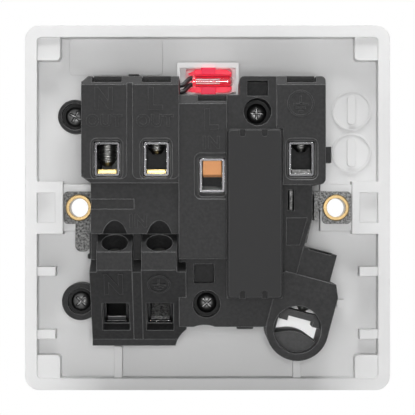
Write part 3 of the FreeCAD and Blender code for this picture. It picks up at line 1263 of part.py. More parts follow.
# Rocker switch: rocker, spring plungers and rocking contact levers.
def make_rocker():
    body = new_body("rocker")
    nose = "(-plate_depth - rocker_pivot - rocker_nose)"
    half = "(rocker_height / 2)"
    outer = profile(body, "YZ_Plane", "-rocker_width / 2", [[
        ("-rocker_back", f"-{half}"), ("-rocker_back", half),
        (f"{nose} - rocker_dip", f"{half} - rocker_draft", "rocker_round"), (nose, "0"),
        (f"{nose} - rocker_dip", f"rocker_draft - {half}", "rocker_round")]])
    pad(body, outer, "rocker_width")
    cut(body, "-rocker_back + 1", f"{nose} + rocker_wall", [
        around("0", "0", "rocker_width / 2 - rocker_wall", f"{half} - rocker_draft - rocker_wall")])
    grow(body, "hub_reach", "-hub_front", [around("0", "0", "rocker_width / 2", "hub_half")])
    axle = profile(body, "YZ_Plane", "-rocker_width / 2 - pivot_length",
                   circles=[("0", "0", "pivot_radius")])
    pad(body, axle, "rocker_width + 2 * pivot_length")
    cut(body, "hub_reach + 1", "-plunger_well", circles=[
        (f"{side} * pole_half", "0", "plunger_radius + shaft_gap") for side in SIDES])
    set_place(body, "rocker_x", "rocker_pivot", "rocker_z", "rocker_lean")
    return body


def make_spring(name, side):
    """The coil between a plunger and the bottom of its bore."""
    turns = 3
    height = size("plunger_reach - plunger_length + plunger_well - 2 * spring_wire")
    radius = size("plunger_radius - spring_wire")
    helix = Part.makeHelix(height / turns, height, radius)
    ring = Part.Wire(Part.makeCircle(size("spring_wire"), V(radius, 0, 0), V(0, 1, 0)))
    item = doc.addObject("Part::Feature", "spring_" + name)
    item.Label = "spring_" + name
    item.Shape = Part.Wire(helix).makePipeShell([ring], True, True)
    start = "(spring_wire - plunger_well)"
    set_place(item, pole(side), "rocker_pivot + " + lean_y(start, "0", "rocker_lean"),
              "rocker_z + " + lean_z(start, "0", "rocker_lean"), "rocker_lean + 90")
    return item


def make_plunger(name, side):
    body = new_body("plunger_" + name)
    turned(body, [("0", "plunger_reach - plunger_length"),
                  ("plunger_radius", "plunger_reach - plunger_length"),
                  ("plunger_radius", "plunger_reach", "plunger_round"), ("0", "plunger_reach")])
    set_place(body, pole(side), "rocker_pivot", "rocker_z", "rocker_lean + 90")
    return body


def make_lever(name, side):
    """A rocking contact arm with a rivet at its upper end."""
    body = new_body("lever_" + name)
    grow(body, "-ridge_gap", "-ridge_gap - lever_gauge", [
        around("0", "0", "lever_width / 2", "lever_length / 2", "lever_width / 4")])
    grow(body, "contact_height - ridge_gap", "-ridge_gap", circles=[
        ("0", "lever_length / 2 - contact_radius - 0.1", "contact_radius")])
    set_place(body, pole(side), "lever_axis", "rocker_z", "-lever_lean")
    return body


def make_anvil(name, side):
    """The fixed contact that the lever closes on."""
    body = new_body("contact_" + name)
    height = "rocker_z + (lever_length / 2 - contact_radius - 0.1) * cos(lever_lean)"
    grow(body, BAR_FOOT, f"{BAR_FOOT} - anvil_height", circles=[(pole(side), height, "contact_radius")])
    return body


# Fuse: ceramic cartridge with two caps, in a carrier that pulls out in front.
def make_fuse_body():
    body = new_body("fuse_body")
    turned(body, [("0", "cap_sheet - fuse_length / 2"),
                  ("fuse_radius - tube_step", "cap_sheet - fuse_length / 2"),
                  ("fuse_radius - tube_step", "fuse_length / 2 - cap_sheet"),
                  ("0", "fuse_length / 2 - cap_sheet")])
    set_place(body, "fuse_x", "fuse_y", "fuse_z")
    return body


def make_fuse_cap(name, end):
    body = new_body("fuse_cap_" + name)
    inner = "fuse_radius - tube_step + shaft_gap / 2"
    outline = [("0", "fuse_length / 2"), ("fuse_radius", "fuse_length / 2", "cap_sheet"),
               ("fuse_radius", "fuse_length / 2 - fuse_cap"), (inner, "fuse_length / 2 - fuse_cap"),
               (inner, "fuse_length / 2 - cap_sheet"), ("0", "fuse_length / 2 - cap_sheet")]
    turned(body, [(corner[0], f"{end} * ({corner[1]})") + corner[2:] for corner in outline])
    set_place(body, "fuse_x", "fuse_y", "fuse_z")
    return body


def make_fuse_carrier():
    body = new_body("fuse_carrier")
    nose = f"({FRONT} - carrier_nose)"
    face = grow(body, f"{nose} + carrier_face", nose, [
        around("fuse_x", "fuse_z", "carrier_width / 2", "carrier_height / 2", "carrier_nose")])
    front = size(nose)
    edges = edges_at(face, lambda point: abs(point.y - front) < 1e-6)
    dress(body, "Chamfer", face, edges, "carrier_nose / 2")
    cheeks = []
    cheek_half = "(fuse_length / 2 - fuse_cap - move_gap)"
    for side in SIDES:
        near = f"fuse_x + {side} * (fuse_radius + piece_gap)"
        cheeks.append(block(near, f"{near} + {side} * carrier_wall",
                            f"fuse_z - {cheek_half}", f"fuse_z + {cheek_half}"))
        end = f"fuse_z + {side} * (fuse_length / 2 + piece_gap)"
        cheeks.append(block("fuse_x - fuse_radius", "fuse_x + fuse_radius", end,
                            f"{end} + {side} * carrier_wall"))
    grow(body, "fuse_y + fuse_radius / 2", f"{nose} + carrier_face", cheeks)
    cut(body, f"{nose} + carrier_face / 2", f"{nose} - 1", [
        around("fuse_x", "fuse_z + carrier_height / 2 - carrier_notch", "slot_width / 2",
               "carrier_notch_half")])
    return body


# Neon: lens in the front, holder, tube with its electrodes, and two leads.
def make_neon_lens():
    body = new_body("neon_lens")
    turned(body, [("0", f"{FRONT} - lens_nose"), ("lens_radius", f"{FRONT} - lens_nose", "lens_nose"),
                  ("lens_radius", f"{FLOOR} + seat_rise"), ("0", f"{FLOOR} + seat_rise")])
    set_place(body, "neon_x", "0", "neon_z", "90")
    return body


def make_neon_holder():
    body = new_body("neon_holder")
    foot = f"({FLOOR} + seat_rise)"
    left = "neon_x - holder_shift + holder_length / 2"
    right = "neon_x - holder_shift - holder_length / 2"
    grow(body, f"{foot} + holder_deep", foot, [[
        (right, "neon_z - holder_height / 2 + holder_bevel"),
        (f"{right} + holder_near", "neon_z - holder_height / 2"),
        (f"{left} - holder_far", "neon_z - holder_height / 2"),
        (left, "neon_z - tube_radius - holder_lip"),
        (f"{left} - notch_run", "neon_z - notch_half"), (f"{left} - notch_run", "neon_z + notch_half"),
        (left, "neon_z + tube_radius + holder_lip"),
        (f"{left} - holder_far", "neon_z + holder_height / 2"),
        (f"{right} + holder_near", "neon_z + holder_height / 2"),
        (right, "neon_z + holder_height / 2 - holder_bevel")]])
    grow(body, f"{foot} + holder_deep + holder_swell", foot, [
        around("neon_x - band_shift", "neon_z", "holder_band / 2", "holder_height / 2 + holder_swell")])
    cut(body, f"{foot} + holder_deep + 1", "tube_y - tube_radius - piece_gap", [
        block(f"{right} - 1", f"{left} + 1", "neon_z - tube_radius - piece_gap",
              "neon_z + tube_radius + piece_gap")])
    cut(body, f"{foot} + holder_deep + 1", "tube_y - tube_radius - piece_gap", [
        around(f"{left} + 1", "neon_z", "notch_run", "holder_height")])
    return body


def make_neon_tube():
    body = new_body("neon_tube")
    inner = "tube_radius - tube_wall"
    turned(body, [("0", "0"), ("tube_radius", "0"), ("tube_radius", "tube_length", "tube_dome"),
                  ("0", "tube_length"), ("0", "tube_length - tube_wall"),
                  (inner, "tube_length - tube_wall", "tube_dome - tube_wall"), (inner, "tube_base"),
                  ("0", "tube_base")])
    set_swing(body, "neon_x + tube_length / 2 - tube_shift", "tube_y", "neon_z", "90")
    return body


def make_electrodes():
    body = new_body("neon_electrodes")
    start = "neon_x + tube_length / 2 - tube_shift - tube_base - electrode_length"
    rods = profile(body, "YZ_Plane", start, circles=[
        ("tube_y", f"neon_z + {side} * electrode_apart", "electrode_radius") for side in SIDES])
    pad(body, rods, "electrode_length")
    return body


def make_lead(name, side):
    """A lead from the tube's foot, bent down into the housing's side."""
    start = V(size("neon_x + tube_length / 2 - tube_shift"), size("tube_y"),
              size(f"neon_z + {side} * lead_apart"))
    end = V(size("out_right"), size("tube_y + lead_rise"),
            size(f"neon_z - lead_drop + {side} * lead_apart"))
    run = (end.x - start.x) / 2
    points = [start, start + V(run, 0, 0), end - V(run, 0, 0), end]
    curve = Part.BSplineCurve()
    curve.buildFromPoles(points, False, 3)
    path = Part.Wire(curve.toShape())
    ring = Part.Wire(Part.makeCircle(size("lead_radius"), start, V(1, 0, 0)))
    item = doc.addObject("Part::Feature", "neon_lead_" + name)
    item.Label = "neon_lead_" + name
    item.Shape = path.makePipeShell([ring], True, False)
    return item


# Cord clamp: jaw and screw in the leaning tower.
def make_clamp_jaw():
    body = new_body("clamp_jaw")
    left, right = "clamp_shift - clamp_half", "clamp_shift + clamp_half"
    grow(body, "clamp_mid + jaw_deep / 2", "clamp_mid - jaw_deep / 2", [[
        (left, "jaw_edge - jaw_tab"), (f"{left} + jaw_tab_width", "jaw_edge - jaw_tab"),
        (f"{left} + jaw_tab_width", "jaw_edge"), (f"{right} - jaw_tab_width", "jaw_edge"),
        (f"{right} - jaw_tab_width", "jaw_edge - jaw_tab"), (right, "jaw_edge - jaw_tab"),
        (right, "jaw_edge + jaw_height"), (left, "jaw_edge + jaw_height")]])
    set_swing(body, "outlet_x", "0", "outlet_z", "clamp_lean")
    return body


def make_clamp_screw():
    body = new_body("clamp_screw")
    start = "(jaw_edge + jaw_height + touch_gap)"
    turned(body, [("0", start), ("clamp_thread - point_taper", start),
                  ("clamp_thread", f"{start} + point_taper"),
                  ("clamp_thread", "clamp_head_at"), ("clamp_head", "clamp_head_at"),
                  ("clamp_head", "clamp_head_at + clamp_head_height", "driver_slot / 2"),
                  ("0", "clamp_head_at + clamp_head_height")])
    cut_box(body, "0", "0", "clamp_head_at + clamp_head_height", "2 * clamp_head + 1", "driver_slot",
            "clamp_head_height")
    set_swing(body, swing_x("clamp_shift", "0"), "clamp_mid", swing_z("clamp_shift", "0"), "clamp_lean")
    return body


subparts = [make_front_plate(), make_rear_housing(), make_fuse_cover()]
for name, across, deep, up, lean, tip in TERMINALS:
    subparts.append(make_cage(name, across, deep, up, lean))
    subparts.append(make_terminal_screw(name, across, deep, up, lean, tip))
subparts.append(make_tongue_bar("neutral_out", "neutral_x", "contact_low",
                                "neutral_x + bar_width / 2", "line_x + bar_width / 2 + pole_gap"))
subparts.append(make_tongue_bar("line_out", "line_x", "contact_low",
                                "line_x + bar_width / 2", f"{pole('-1')} - bar_width / 2"))
subparts += [make_line_in_bar(), make_fuse_out_bar(), make_neutral_in_bar(), make_left_strap(),
             make_right_strap(), make_eyelet("left", "1"), make_eyelet("right", "-1")]
for number, (across, up) in enumerate(SCREW_SPOTS, start=1):
    subparts.append(make_case_screw(number, across, up, "lug_seat" if number < 3 else "post_seat"))
subparts.append(make_rocker())
for name, side in (("line", "-1"), ("neutral", "1")):
    subparts += [make_plunger(name, side), make_spring(name, side), make_lever(name, side),
                 make_anvil(name, side)]
subparts += [make_fuse_body(), make_fuse_cap("upper", "1"), make_fuse_cap("lower", "-1"),
             make_fuse_carrier(),
             make_neon_lens(), make_neon_holder(), make_neon_tube(), make_electrodes(),
             make_lead("upper", "1"), make_lead("lower", "-1"), make_clamp_jaw(), make_clamp_screw()]

# Check everything first, then write one file for each sub-part.
doc.recompute()
for item in doc.Objects:
    if "Invalid" in item.State or "Error" in item.State:
        raise RuntimeError(f"{item.Name} did not build: {item.State}")
for item in subparts:
    if item.Shape.isNull() or not item.Shape.isValid():
        raise RuntimeError(f"{item.Label} has no sound shape")
for item in subparts:
    item.Shape.exportStep(f"{PARTS_FOLDER}/{item.Label}.step")
    print(item.Label, len(item.Shape.Solids), round(item.Shape.Volume, 1))
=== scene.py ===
import math

import bpy
from mathutils import Matrix, Vector


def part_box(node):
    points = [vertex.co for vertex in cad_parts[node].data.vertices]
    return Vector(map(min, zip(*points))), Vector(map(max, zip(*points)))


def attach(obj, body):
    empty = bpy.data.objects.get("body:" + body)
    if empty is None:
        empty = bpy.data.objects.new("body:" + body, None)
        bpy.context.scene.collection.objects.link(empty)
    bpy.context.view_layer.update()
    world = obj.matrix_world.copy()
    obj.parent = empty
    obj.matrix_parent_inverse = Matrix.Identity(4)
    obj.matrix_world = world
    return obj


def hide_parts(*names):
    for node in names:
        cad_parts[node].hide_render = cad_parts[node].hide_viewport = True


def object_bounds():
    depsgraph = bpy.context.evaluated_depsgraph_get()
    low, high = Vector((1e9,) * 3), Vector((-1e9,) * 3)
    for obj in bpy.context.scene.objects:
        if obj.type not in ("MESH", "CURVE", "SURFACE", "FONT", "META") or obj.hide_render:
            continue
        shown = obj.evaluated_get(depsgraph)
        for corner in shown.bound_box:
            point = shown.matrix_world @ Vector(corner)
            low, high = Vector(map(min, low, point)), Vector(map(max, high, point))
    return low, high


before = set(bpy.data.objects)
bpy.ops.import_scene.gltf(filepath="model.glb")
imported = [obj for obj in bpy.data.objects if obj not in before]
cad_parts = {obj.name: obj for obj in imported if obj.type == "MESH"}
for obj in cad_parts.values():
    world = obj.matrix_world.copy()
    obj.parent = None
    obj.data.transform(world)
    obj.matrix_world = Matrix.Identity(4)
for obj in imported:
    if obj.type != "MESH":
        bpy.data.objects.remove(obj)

cad_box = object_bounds()


# Front plate: the white urea tray that everything is mounted in, moulded in
# one shot with a polished face and a finely matt inside. It is the root body.
def new_material(name, colour, roughness, metallic=0.0, specular=0.5):
    """A Principled material with its constants on the shader's sockets."""
    material = bpy.data.materials.new(name)
    material.use_nodes = True
    shader = material.node_tree.nodes["Principled BSDF"]
    shader.inputs["Base Color"].default_value = (*colour, 1.0)
    shader.inputs["Roughness"].default_value = roughness
    shader.inputs["Metallic"].default_value = metallic
    shader.inputs["Specular IOR Level"].default_value = specular
    return material, shader


def wear(material, target):
    """Gives a material to every slot of a node's or piece's object."""
    target.data.materials.clear()
    target.data.materials.append(material)
    for face in getattr(target.data, "polygons", ()):
        face.material_index = 0


def grain_group():
    """Normals of a fine moulded or blasted surface, with softened edges."""
    group = bpy.data.node_groups.new("surface_grain", "ShaderNodeTree")
    for name, value in (("Scale", 1500.0), ("Depth", 0.00002), ("Edge", 0.0002)):
        socket = group.interface.new_socket(name, in_out="INPUT", socket_type="NodeSocketFloat")
        socket.default_value = value
    group.interface.new_socket("Normal", in_out="OUTPUT", socket_type="NodeSocketVector")
    nodes, links = group.nodes, group.links
    entry, leave = nodes.new("NodeGroupInput"), nodes.new("NodeGroupOutput")
    place, noise = nodes.new("ShaderNodeTexCoord"), nodes.new("ShaderNodeTexNoise")
    bevel, bump = nodes.new("ShaderNodeBevel"), nodes.new("ShaderNodeBump")
    noise.inputs["Detail"].default_value = 3.0
    bump.inputs["Strength"].default_value = 1.0
    bevel.samples = 4
    links.new(place.outputs["Object"], noise.inputs["Vector"])
    links.new(entry.outputs["Scale"], noise.inputs["Scale"])
    links.new(entry.outputs["Depth"], bump.inputs["Distance"])
    links.new(entry.outputs["Edge"], bevel.inputs["Radius"])
    links.new(noise.outputs["Fac"], bump.inputs["Height"])
    links.new(bevel.outputs["Normal"], bump.inputs["Normal"])
    links.new(bump.outputs["Normal"], leave.inputs["Normal"])
    return group


grain = grain_group()


def add_grain(material, shader, scale, depth, edge):
    """Feeds the grain group's normals into a material's shader."""
    tree = material.node_tree
    node = tree.nodes.new("ShaderNodeGroup")
    node.node_tree = grain
    node.inputs["Scale"].default_value = scale
    node.inputs["Depth"].default_value = depth
    node.inputs["Edge"].default_value = edge
    tree.links.new(node.outputs["Normal"], shader.inputs["Normal"])


white, shader = new_material("white_moulding", (0.82, 0.82, 0.82), roughness=0.42, specular=0.25)
add_grain(white, shader, scale=900.0, depth=0.00001, edge=0.00025)
wear(white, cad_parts["front_plate"])


# Rear housing: one black glass-filled moulding that screws onto the tray and
# holds the terminals. Its tool was spark-eroded, so its faces are evenly dull,
# and its edges carry a painted highlight for light caught on them.
def mottle(material, shader, dark, light, scale, low, high):
    """Lets a noise pattern mix two shades into a material's base colour."""
    tree = material.node_tree
    place, noise = tree.nodes.new("ShaderNodeTexCoord"), tree.nodes.new("ShaderNodeTexNoise")
    ramp = tree.nodes.new("ShaderNodeValToRGB")
    noise.inputs["Scale"].default_value = scale
    noise.inputs["Detail"].default_value = 4.0
    first, last = ramp.color_ramp.elements
    first.position, last.position = low, high
    first.color, last.color = (*dark, 1.0), (*light, 1.0)
    tree.links.new(place.outputs["Object"], noise.inputs["Vector"])
    tree.links.new(noise.outputs["Fac"], ramp.inputs["Fac"])
    tree.links.new(ramp.outputs["Color"], shader.inputs["Base Color"])


def edge_group():
    """A mask that is 1 on the edges within a radius and 0 on flat faces."""
    group = bpy.data.node_groups.new("edge_mask", "ShaderNodeTree")
    radius = group.interface.new_socket("Radius", in_out="INPUT", socket_type="NodeSocketFloat")
    radius.default_value = 0.0001
    group.interface.new_socket("Mask", in_out="OUTPUT", socket_type="NodeSocketFloat")
    nodes, links = group.nodes, group.links
    entry, leave = nodes.new("NodeGroupInput"), nodes.new("NodeGroupOutput")
    bevel, shape = nodes.new("ShaderNodeBevel"), nodes.new("ShaderNodeNewGeometry")
    match, spread = nodes.new("ShaderNodeVectorMath"), nodes.new("ShaderNodeMapRange")
    match.operation = "DOT_PRODUCT"
    spread.inputs["From Min"].default_value = 0.99
    spread.inputs["From Max"].default_value = 0.9
    links.new(entry.outputs["Radius"], bevel.inputs["Radius"])
    links.new(bevel.outputs["Normal"], match.inputs[0])
    links.new(shape.outputs["Normal"], match.inputs[1])
    links.new(match.outputs["Value"], spread.inputs["Value"])
    links.new(spread.outputs["Result"], leave.inputs["Mask"])
    return group


edges = edge_group()


def paint_edge_highlight(material, shader, edge, radius):
    """Mixes a painted highlight along the edges into the base colour that is set."""
    tree, base = material.node_tree, shader.inputs["Base Color"]
    mask, mix = tree.nodes.new("ShaderNodeGroup"), tree.nodes.new("ShaderNodeMixRGB")
    mask.node_tree = edges
    mask.inputs["Radius"].default_value = radius
    mix.inputs["Color1"].default_value = tuple(base.default_value)
    mix.inputs["Color2"].default_value = (*edge, 1.0)
    if base.links:
        tree.links.new(base.links[0].from_socket, mix.inputs["Color1"])
    tree.links.new(mask.outputs["Mask"], mix.inputs["Fac"])
    tree.links.new(mix.outputs["Color"], base)


black, shader = new_material("black_moulding", (0.022, 0.022, 0.0225), roughness=0.5, specular=0.17)
mottle(black, shader, (0.017, 0.017, 0.0175), (0.029, 0.029, 0.0295), scale=1400.0, low=0.35, high=0.7)
# Painted highlight: a light grey mixed in along the edges stands for light caught on them.
paint_edge_highlight(black, shader, (0.26, 0.26, 0.262), radius=0.00025)
add_grain(black, shader, scale=2600.0, depth=0.00003, edge=0.0005)
wear(black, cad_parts["rear_housing"])


# Terminal marks: raised by the same tool on the housing's rear faces, so they
# are of the housing's own plastic, and their edges carry a painted highlight like its edges.
mark, shader = new_material("black_mark", (0.019, 0.019, 0.0195), roughness=0.5, specular=0.17)
# Painted highlight along the edges of the marks.
paint_edge_highlight(mark, shader, (0.26, 0.26, 0.262), radius=0.0001)
add_grain(mark, shader, scale=2600.0, depth=0.00002, edge=0.00015)
mark_rise = 0.0002
letter_boldness, letter_spacing = 0.04, 1.12
block_face, live_face, panel_face, slope_face = 0.0200, 0.0192, 0.0176, 0.01745
letter_row, word_row, slope_row = 0.02446, 0.01953, -0.01715
tower_tilt = math.radians(38.0)
tilt_sine, tilt_cosine = math.sin(tower_tilt), math.cos(tower_tilt)
flat_turn = Matrix(((-1, 0, 0), (0, 0, 1), (0, 1, 0)))
slope_turn = Matrix(((-1, 0, 0), (0, tilt_sine, tilt_cosine), (0, tilt_cosine, -tilt_sine)))


def raised_text(name, words, height, wide, place, turn):
    """Bold letters of a given height and width, centred at a place on a face."""
    curve = bpy.data.curves.new(name, "FONT")
    curve.body = words
    curve.align_x, curve.align_y = "CENTER", "CENTER"
    curve.extrude = mark_rise
    curve.offset = letter_boldness
    curve.space_character = letter_spacing
    curve.resolution_u = 4
    outline = bpy.data.objects.new(name, curve)
    bpy.context.collection.objects.link(outline)
    bpy.context.view_layer.update()
    across, up = outline.dimensions.x, outline.dimensions.y
    mesh = bpy.data.meshes.new_from_object(outline)
    bpy.data.objects.remove(outline)
    xs = [vertex.co.x for vertex in mesh.vertices]
    ys = [vertex.co.y for vertex in mesh.vertices]
    middle = Vector(((min(xs) + max(xs)) / 2, (min(ys) + max(ys)) / 2, 0.0))
    for vertex in mesh.vertices:
        flat = vertex.co - middle
        local = Vector((flat.x * wide / across, flat.y * height / up, vertex.co.z))
        vertex.co = turn @ local + Vector(place)
    piece = bpy.data.objects.new(name, mesh)
    bpy.context.collection.objects.link(piece)
    return piece


def mesh_piece(name, corners, faces):
    """An object with a mesh of its own, linked to the scene."""
    mesh = bpy.data.meshes.new(name)
    mesh.from_pydata(corners, [], faces)
    piece = bpy.data.objects.new(name, mesh)
    bpy.context.collection.objects.link(piece)
    return piece


def earth_mark(name, radius, place, turn):
    """A ring round an earth sign: one upright stroke on three bars."""
    drawn_stroke, drawn_radius, steps = 0.00022, 0.003, 48
    bars = ((1.15, -0.05), (0.75, -0.32), (0.36, -0.58))
    foot_share, top_share = -0.05, 0.55
    stroke = drawn_stroke * radius / drawn_radius
    corners, faces = [], []

    def raised_bar(low_x, high_x, low_y, high_y):
        start = len(corners)
        for x, y in ((low_x, low_y), (high_x, low_y), (high_x, high_y), (low_x, high_y)):
            corners.append((x, y, -mark_rise))
            corners.append((x, y, mark_rise))
        faces.append([start + 1, start + 3, start + 5, start + 7])
        for k in range(4):
            a, b = start + 2 * k, start + 2 * ((k + 1) % 4)
            faces.append([a, b, b + 1, a + 1])

    for share, level in bars:
        reach, middle = share * radius / 2, level * radius
        raised_bar(-reach, reach, middle - stroke, middle + stroke)
    raised_bar(-stroke, stroke, foot_share * radius, top_share * radius)
    start = len(corners)
    for k in range(steps):
        angle = 2 * math.pi * k / steps
        for reach in (radius - 2 * stroke, radius):
            for level in (-mark_rise, mark_rise):
                corners.append((reach * math.cos(angle), reach * math.sin(angle), level))
    for k in range(steps):
        a, b = start + 4 * k, start + 4 * ((k + 1) % steps)
        faces.append([a + 1, a + 3, b + 3, b + 1])
        faces.append([a + 2, b + 2, b + 3, a + 3])
        faces.append([a, a + 1, b + 1, b])
    return mesh_piece(name, [turn @ Vector(corner) + Vector(place) for corner in corners], faces)


marks = [raised_text(*lettering) for lettering in (
    ("mark_out_n", "N", 0.0051, 0.0040, (0.02324, block_face, letter_row), flat_turn),
    ("mark_out_n_word", "OUT", 0.0029, 0.0081, (0.02316, block_face, word_row), flat_turn),
    ("mark_out_l", "L", 0.0051, 0.0033, (0.01165, block_face, letter_row), flat_turn),
    ("mark_out_l_word", "OUT", 0.0029, 0.0083, (0.01176, block_face, word_row), flat_turn),
    ("mark_in_l", "L", 0.0046, 0.0032, (-0.00095, live_face, 0.0199), flat_turn),
    ("mark_in_l_word", "IN", 0.0029, 0.0038, (-0.00088, live_face, 0.01463), flat_turn),
    ("mark_in_word", "IN", 0.0031, 0.0039, (0.0156, panel_face, -0.00295), flat_turn),
    ("mark_in_n", "N", 0.0060, 0.0042, (0.0212, slope_face, slope_row), slope_turn))]
marks.append(earth_mark("mark_out_earth", 0.0030, (-0.0209, block_face, 0.02336), flat_turn))
marks.append(earth_mark("mark_in_earth", 0.0026, (0.01097, slope_face, slope_row), slope_turn))
for piece in marks:
    wear(mark, piece)
    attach(piece, "unit")


# Fuse cover: a separate black cap that closes the fuse bay from behind. It
# comes from a finer tool, so it looks a little darker than the housing.
cap_black, shader = new_material("black_cap", (0.019, 0.019, 0.0195), roughness=0.5, specular=0.17)
# Painted highlight along the cap's edges, a little weaker than the housing's.
paint_edge_highlight(cap_black, shader, (0.15, 0.15, 0.152), radius=0.0002)
add_grain(cap_black, shader, scale=2200.0, depth=0.000025, edge=0.0003)
wear(cap_black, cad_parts["fuse_cover"])


# Mouth lips: low collars along the upper edges of the screwdriver mouths,
# moulded with the housing and so of its plastic. They close those edges.
neutral_out_x, line_out_x, earth_out_x, line_in_x = 0.0226, 0.0115, -0.0211, -0.00105
lip_half, lip_thick, lip_below, lip_above = 0.0033, 0.0015, 0.0006, 0.00045
out_lip_rear, out_top = 0.01205, 0.0296
live_lip_rear, live_top = 0.01115, 0.0254


def plain_block(name, low, high):
    """An upright box between two corners."""
    corners = [(x, y, z) for x in (low[0], high[0]) for y in (low[1], high[1]) for z in (low[2], high[2])]
    faces = [(0, 1, 3, 2), (4, 6, 7, 5), (0, 4, 5, 1), (2, 3, 7, 6), (0, 2, 6, 4), (1, 5, 7, 3)]
    return mesh_piece(name, corners, faces)


for name, x, rear, top in (("lip_neutral_out", neutral_out_x, out_lip_rear, out_top),
                           ("lip_line_out", line_out_x, out_lip_rear, out_top),
                           ("lip_earth_out", earth_out_x, out_lip_rear, out_top),
                           ("lip_line_in", line_in_x, live_lip_rear, live_top)):
    piece = plain_block(name, (x - lip_half, rear - lip_thick, top - lip_below),
                        (x + lip_half, rear, top + lip_above))
    wear(black, piece)
    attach(piece, "unit")


# Chamber backs: thin black walls across the inner ends of two terminal
# chambers, of the housing's plastic. They hide the switch behind them.
for name, low, high in (("back_line_out", (0.0090, 0.0103, 0.0089), (0.0140, 0.0105, 0.0141)),
                        ("back_line_in", (-0.0033, 0.0092, 0.0049), (0.0012, 0.0094, 0.0070))):
    piece = plain_block(name, low, high)
    wear(black, piece)
    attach(piece, "unit")


# Terminal cages: folded from plated steel strip, painted dark as shade in their
# chambers, with a painted highlight along their edges.
# Each slides in its chamber and its roof is tapped for the clamp screw.
cage_steel, shader = new_material("cage_steel", (0.03, 0.03, 0.031), roughness=0.25, metallic=1.0)
# Painted highlight: near-white mixed in along the edges of the dark cages.
paint_edge_highlight(cage_steel, shader, (0.85, 0.85, 0.84), radius=0.00006)
add_grain(cage_steel, shader, scale=1200.0, depth=0.000006, edge=0.0001)
for name in ("neutral_out", "line_out", "earth_out", "line_in", "neutral_in", "earth_in"):
    wear(cage_steel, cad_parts["cage_" + name])


# Terminal screws: cold-headed steel, zinc plated, with a rolled thread and a
# single driver slot. Each stands for its plain solid and rides on its body.
screw_steel, shader = new_material("screw_steel", (0.42, 0.42, 0.41), roughness=0.3, metallic=1.0)
add_grain(screw_steel, shader, scale=1500.0, depth=0.000006, edge=0.00008)
cage_half = 0.0033
out_deep, out_level = 0.0149, 0.01095
live_deep, live_level = 0.0140, 0.0073
tower_deep, tower_level = 0.0069, -0.0214
upright = Matrix.Identity(3)
leaned = Matrix.Rotation(-tower_tilt, 3, "X")


def join_rows(faces, low, high, count, side=1):
    """Adds the quads between two closed rows of corners; side -1 turns them over."""
    for k in range(count):
        after = (k + 1) % count
        quad = [low + k, low + after, high + after, high + k]
        faces.append(quad if side > 0 else quad[:1] + quad[:0:-1])


def join_point(faces, count):
    """Adds the triangles between the first corner and the closed row after it."""
    for k in range(count):
        faces.append([0, 1 + (k + 1) % count, 1 + k])


def threaded_screw(name, turn, tip, radius, core, pitch, length, head_radius):
    """A screw along its own Z axis from its tip, as one mesh with a slotted head."""
    around, rows_per_turn, arc_steps = 40, 8, 16
    tip_share, tip_slope, crest = 0.42, 0.9, 1.25
    head_height, slot, rim_share = 0.0022, 0.0007, 0.1
    top, rim, wall = length + head_height, rim_share * head_height, slot / 2
    rows = int(length / pitch * rows_per_turn)
    corners, faces = [(0.0, 0.0, 0.0)], []

    def add_point(reach, angle, height):
        corners.append((reach * math.cos(angle), reach * math.sin(angle), height))

    for i in range(rows + 1):
        height = length * i / rows
        taper = min(1.0, tip_share + tip_slope * height / radius)
        for k in range(around):
            phase = (height / pitch - k / around) % 1.0
            ridge = min(1.0, crest * (1.0 - abs(2.0 * phase - 1.0)))
            add_point(min(taper * radius, core + (radius - core) * ridge), 2 * math.pi * k / around, height)
    join_point(faces, around)
    for i in range(rows):
        join_rows(faces, 1 + i * around, 1 + (i + 1) * around, around)
    start = len(corners)
    for reach, height in ((radius, length), (head_radius, length), (head_radius, top - slot)):
        for k in range(around):
            add_point(reach, 2 * math.pi * k / around, height)
    join_rows(faces, start, start + around, around)
    join_rows(faces, start + around, start + 2 * around, around)
    faces.append([start + 2 * around + k for k in range(around)])
    first = math.asin(wall / head_radius)
    points = arc_steps + 1
    for side in (1, -1):
        low = len(corners)
        for shrink, height in ((0.0, top - slot), (0.0, top - rim), (rim, top)):
            for k in range(points):
                angle = first + (math.pi - 2 * first) * k / arc_steps
                x, y = (head_radius - shrink) * math.cos(angle), (head_radius - shrink) * math.sin(angle)
                corners.append((x, side * max(y, wall), height))
        join_rows(faces, low, low + points, points, side)
        join_rows(faces, low + points, low + 2 * points, points, side)
        faces.append([low + 2 * points + k for k in range(points)][::side])
    return mesh_piece(name, [turn @ Vector(corner) + Vector(tip) for corner in corners], faces)


for name, x, deep, level, turn, tip_above_floor in (
        ("neutral_out", neutral_out_x, out_deep, out_level, upright, 0.00175),
        ("line_out", line_out_x, out_deep, out_level, upright, 0.00445),
        ("earth_out", earth_out_x, out_deep, out_level, upright, 0.00495),
        ("line_in", line_in_x, live_deep, live_level, upright, 0.0051),
        ("neutral_in", 0.0209, tower_deep, tower_level, leaned, 0.0060),
        ("earth_in", 0.01085, tower_deep, tower_level, leaned, 0.0061)):
    tip = Vector((x, deep, level)) + turn @ Vector((0.0, 0.0, tip_above_floor - cage_half))
    piece = threaded_screw("terminal_screw_" + name, turn, tip, radius=0.0020, core=0.00152,
                           pitch=0.00078, length=0.0086, head_radius=0.00265)
    wear(screw_steel, piece)
    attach(piece, "screw_" + name)
    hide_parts("screw_" + name)


# Busbars: blanked from brass strip and bent into the cages, bright on their
# sheared edges. They lie against the roof of the switch space.
brass, shader = new_material("brass_strip", (0.42, 0.31, 0.12), roughness=0.3, metallic=1.0)
add_grain(brass, shader, scale=900.0, depth=0.000006, edge=0.0005)
for name in ("bar_neutral_out", "bar_line_out", "bar_fuse_out",
             "contact_line", "contact_neutral", "lever_line", "lever_neutral"):
    wear(brass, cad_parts[name])
tinned, shader = new_material("tinned_strip", (0.22, 0.22, 0.22), roughness=0.35, metallic=1.0)
add_grain(tinned, shader, scale=900.0, depth=0.000006, edge=0.0003)
wear(tinned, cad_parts["bar_neutral_in"])


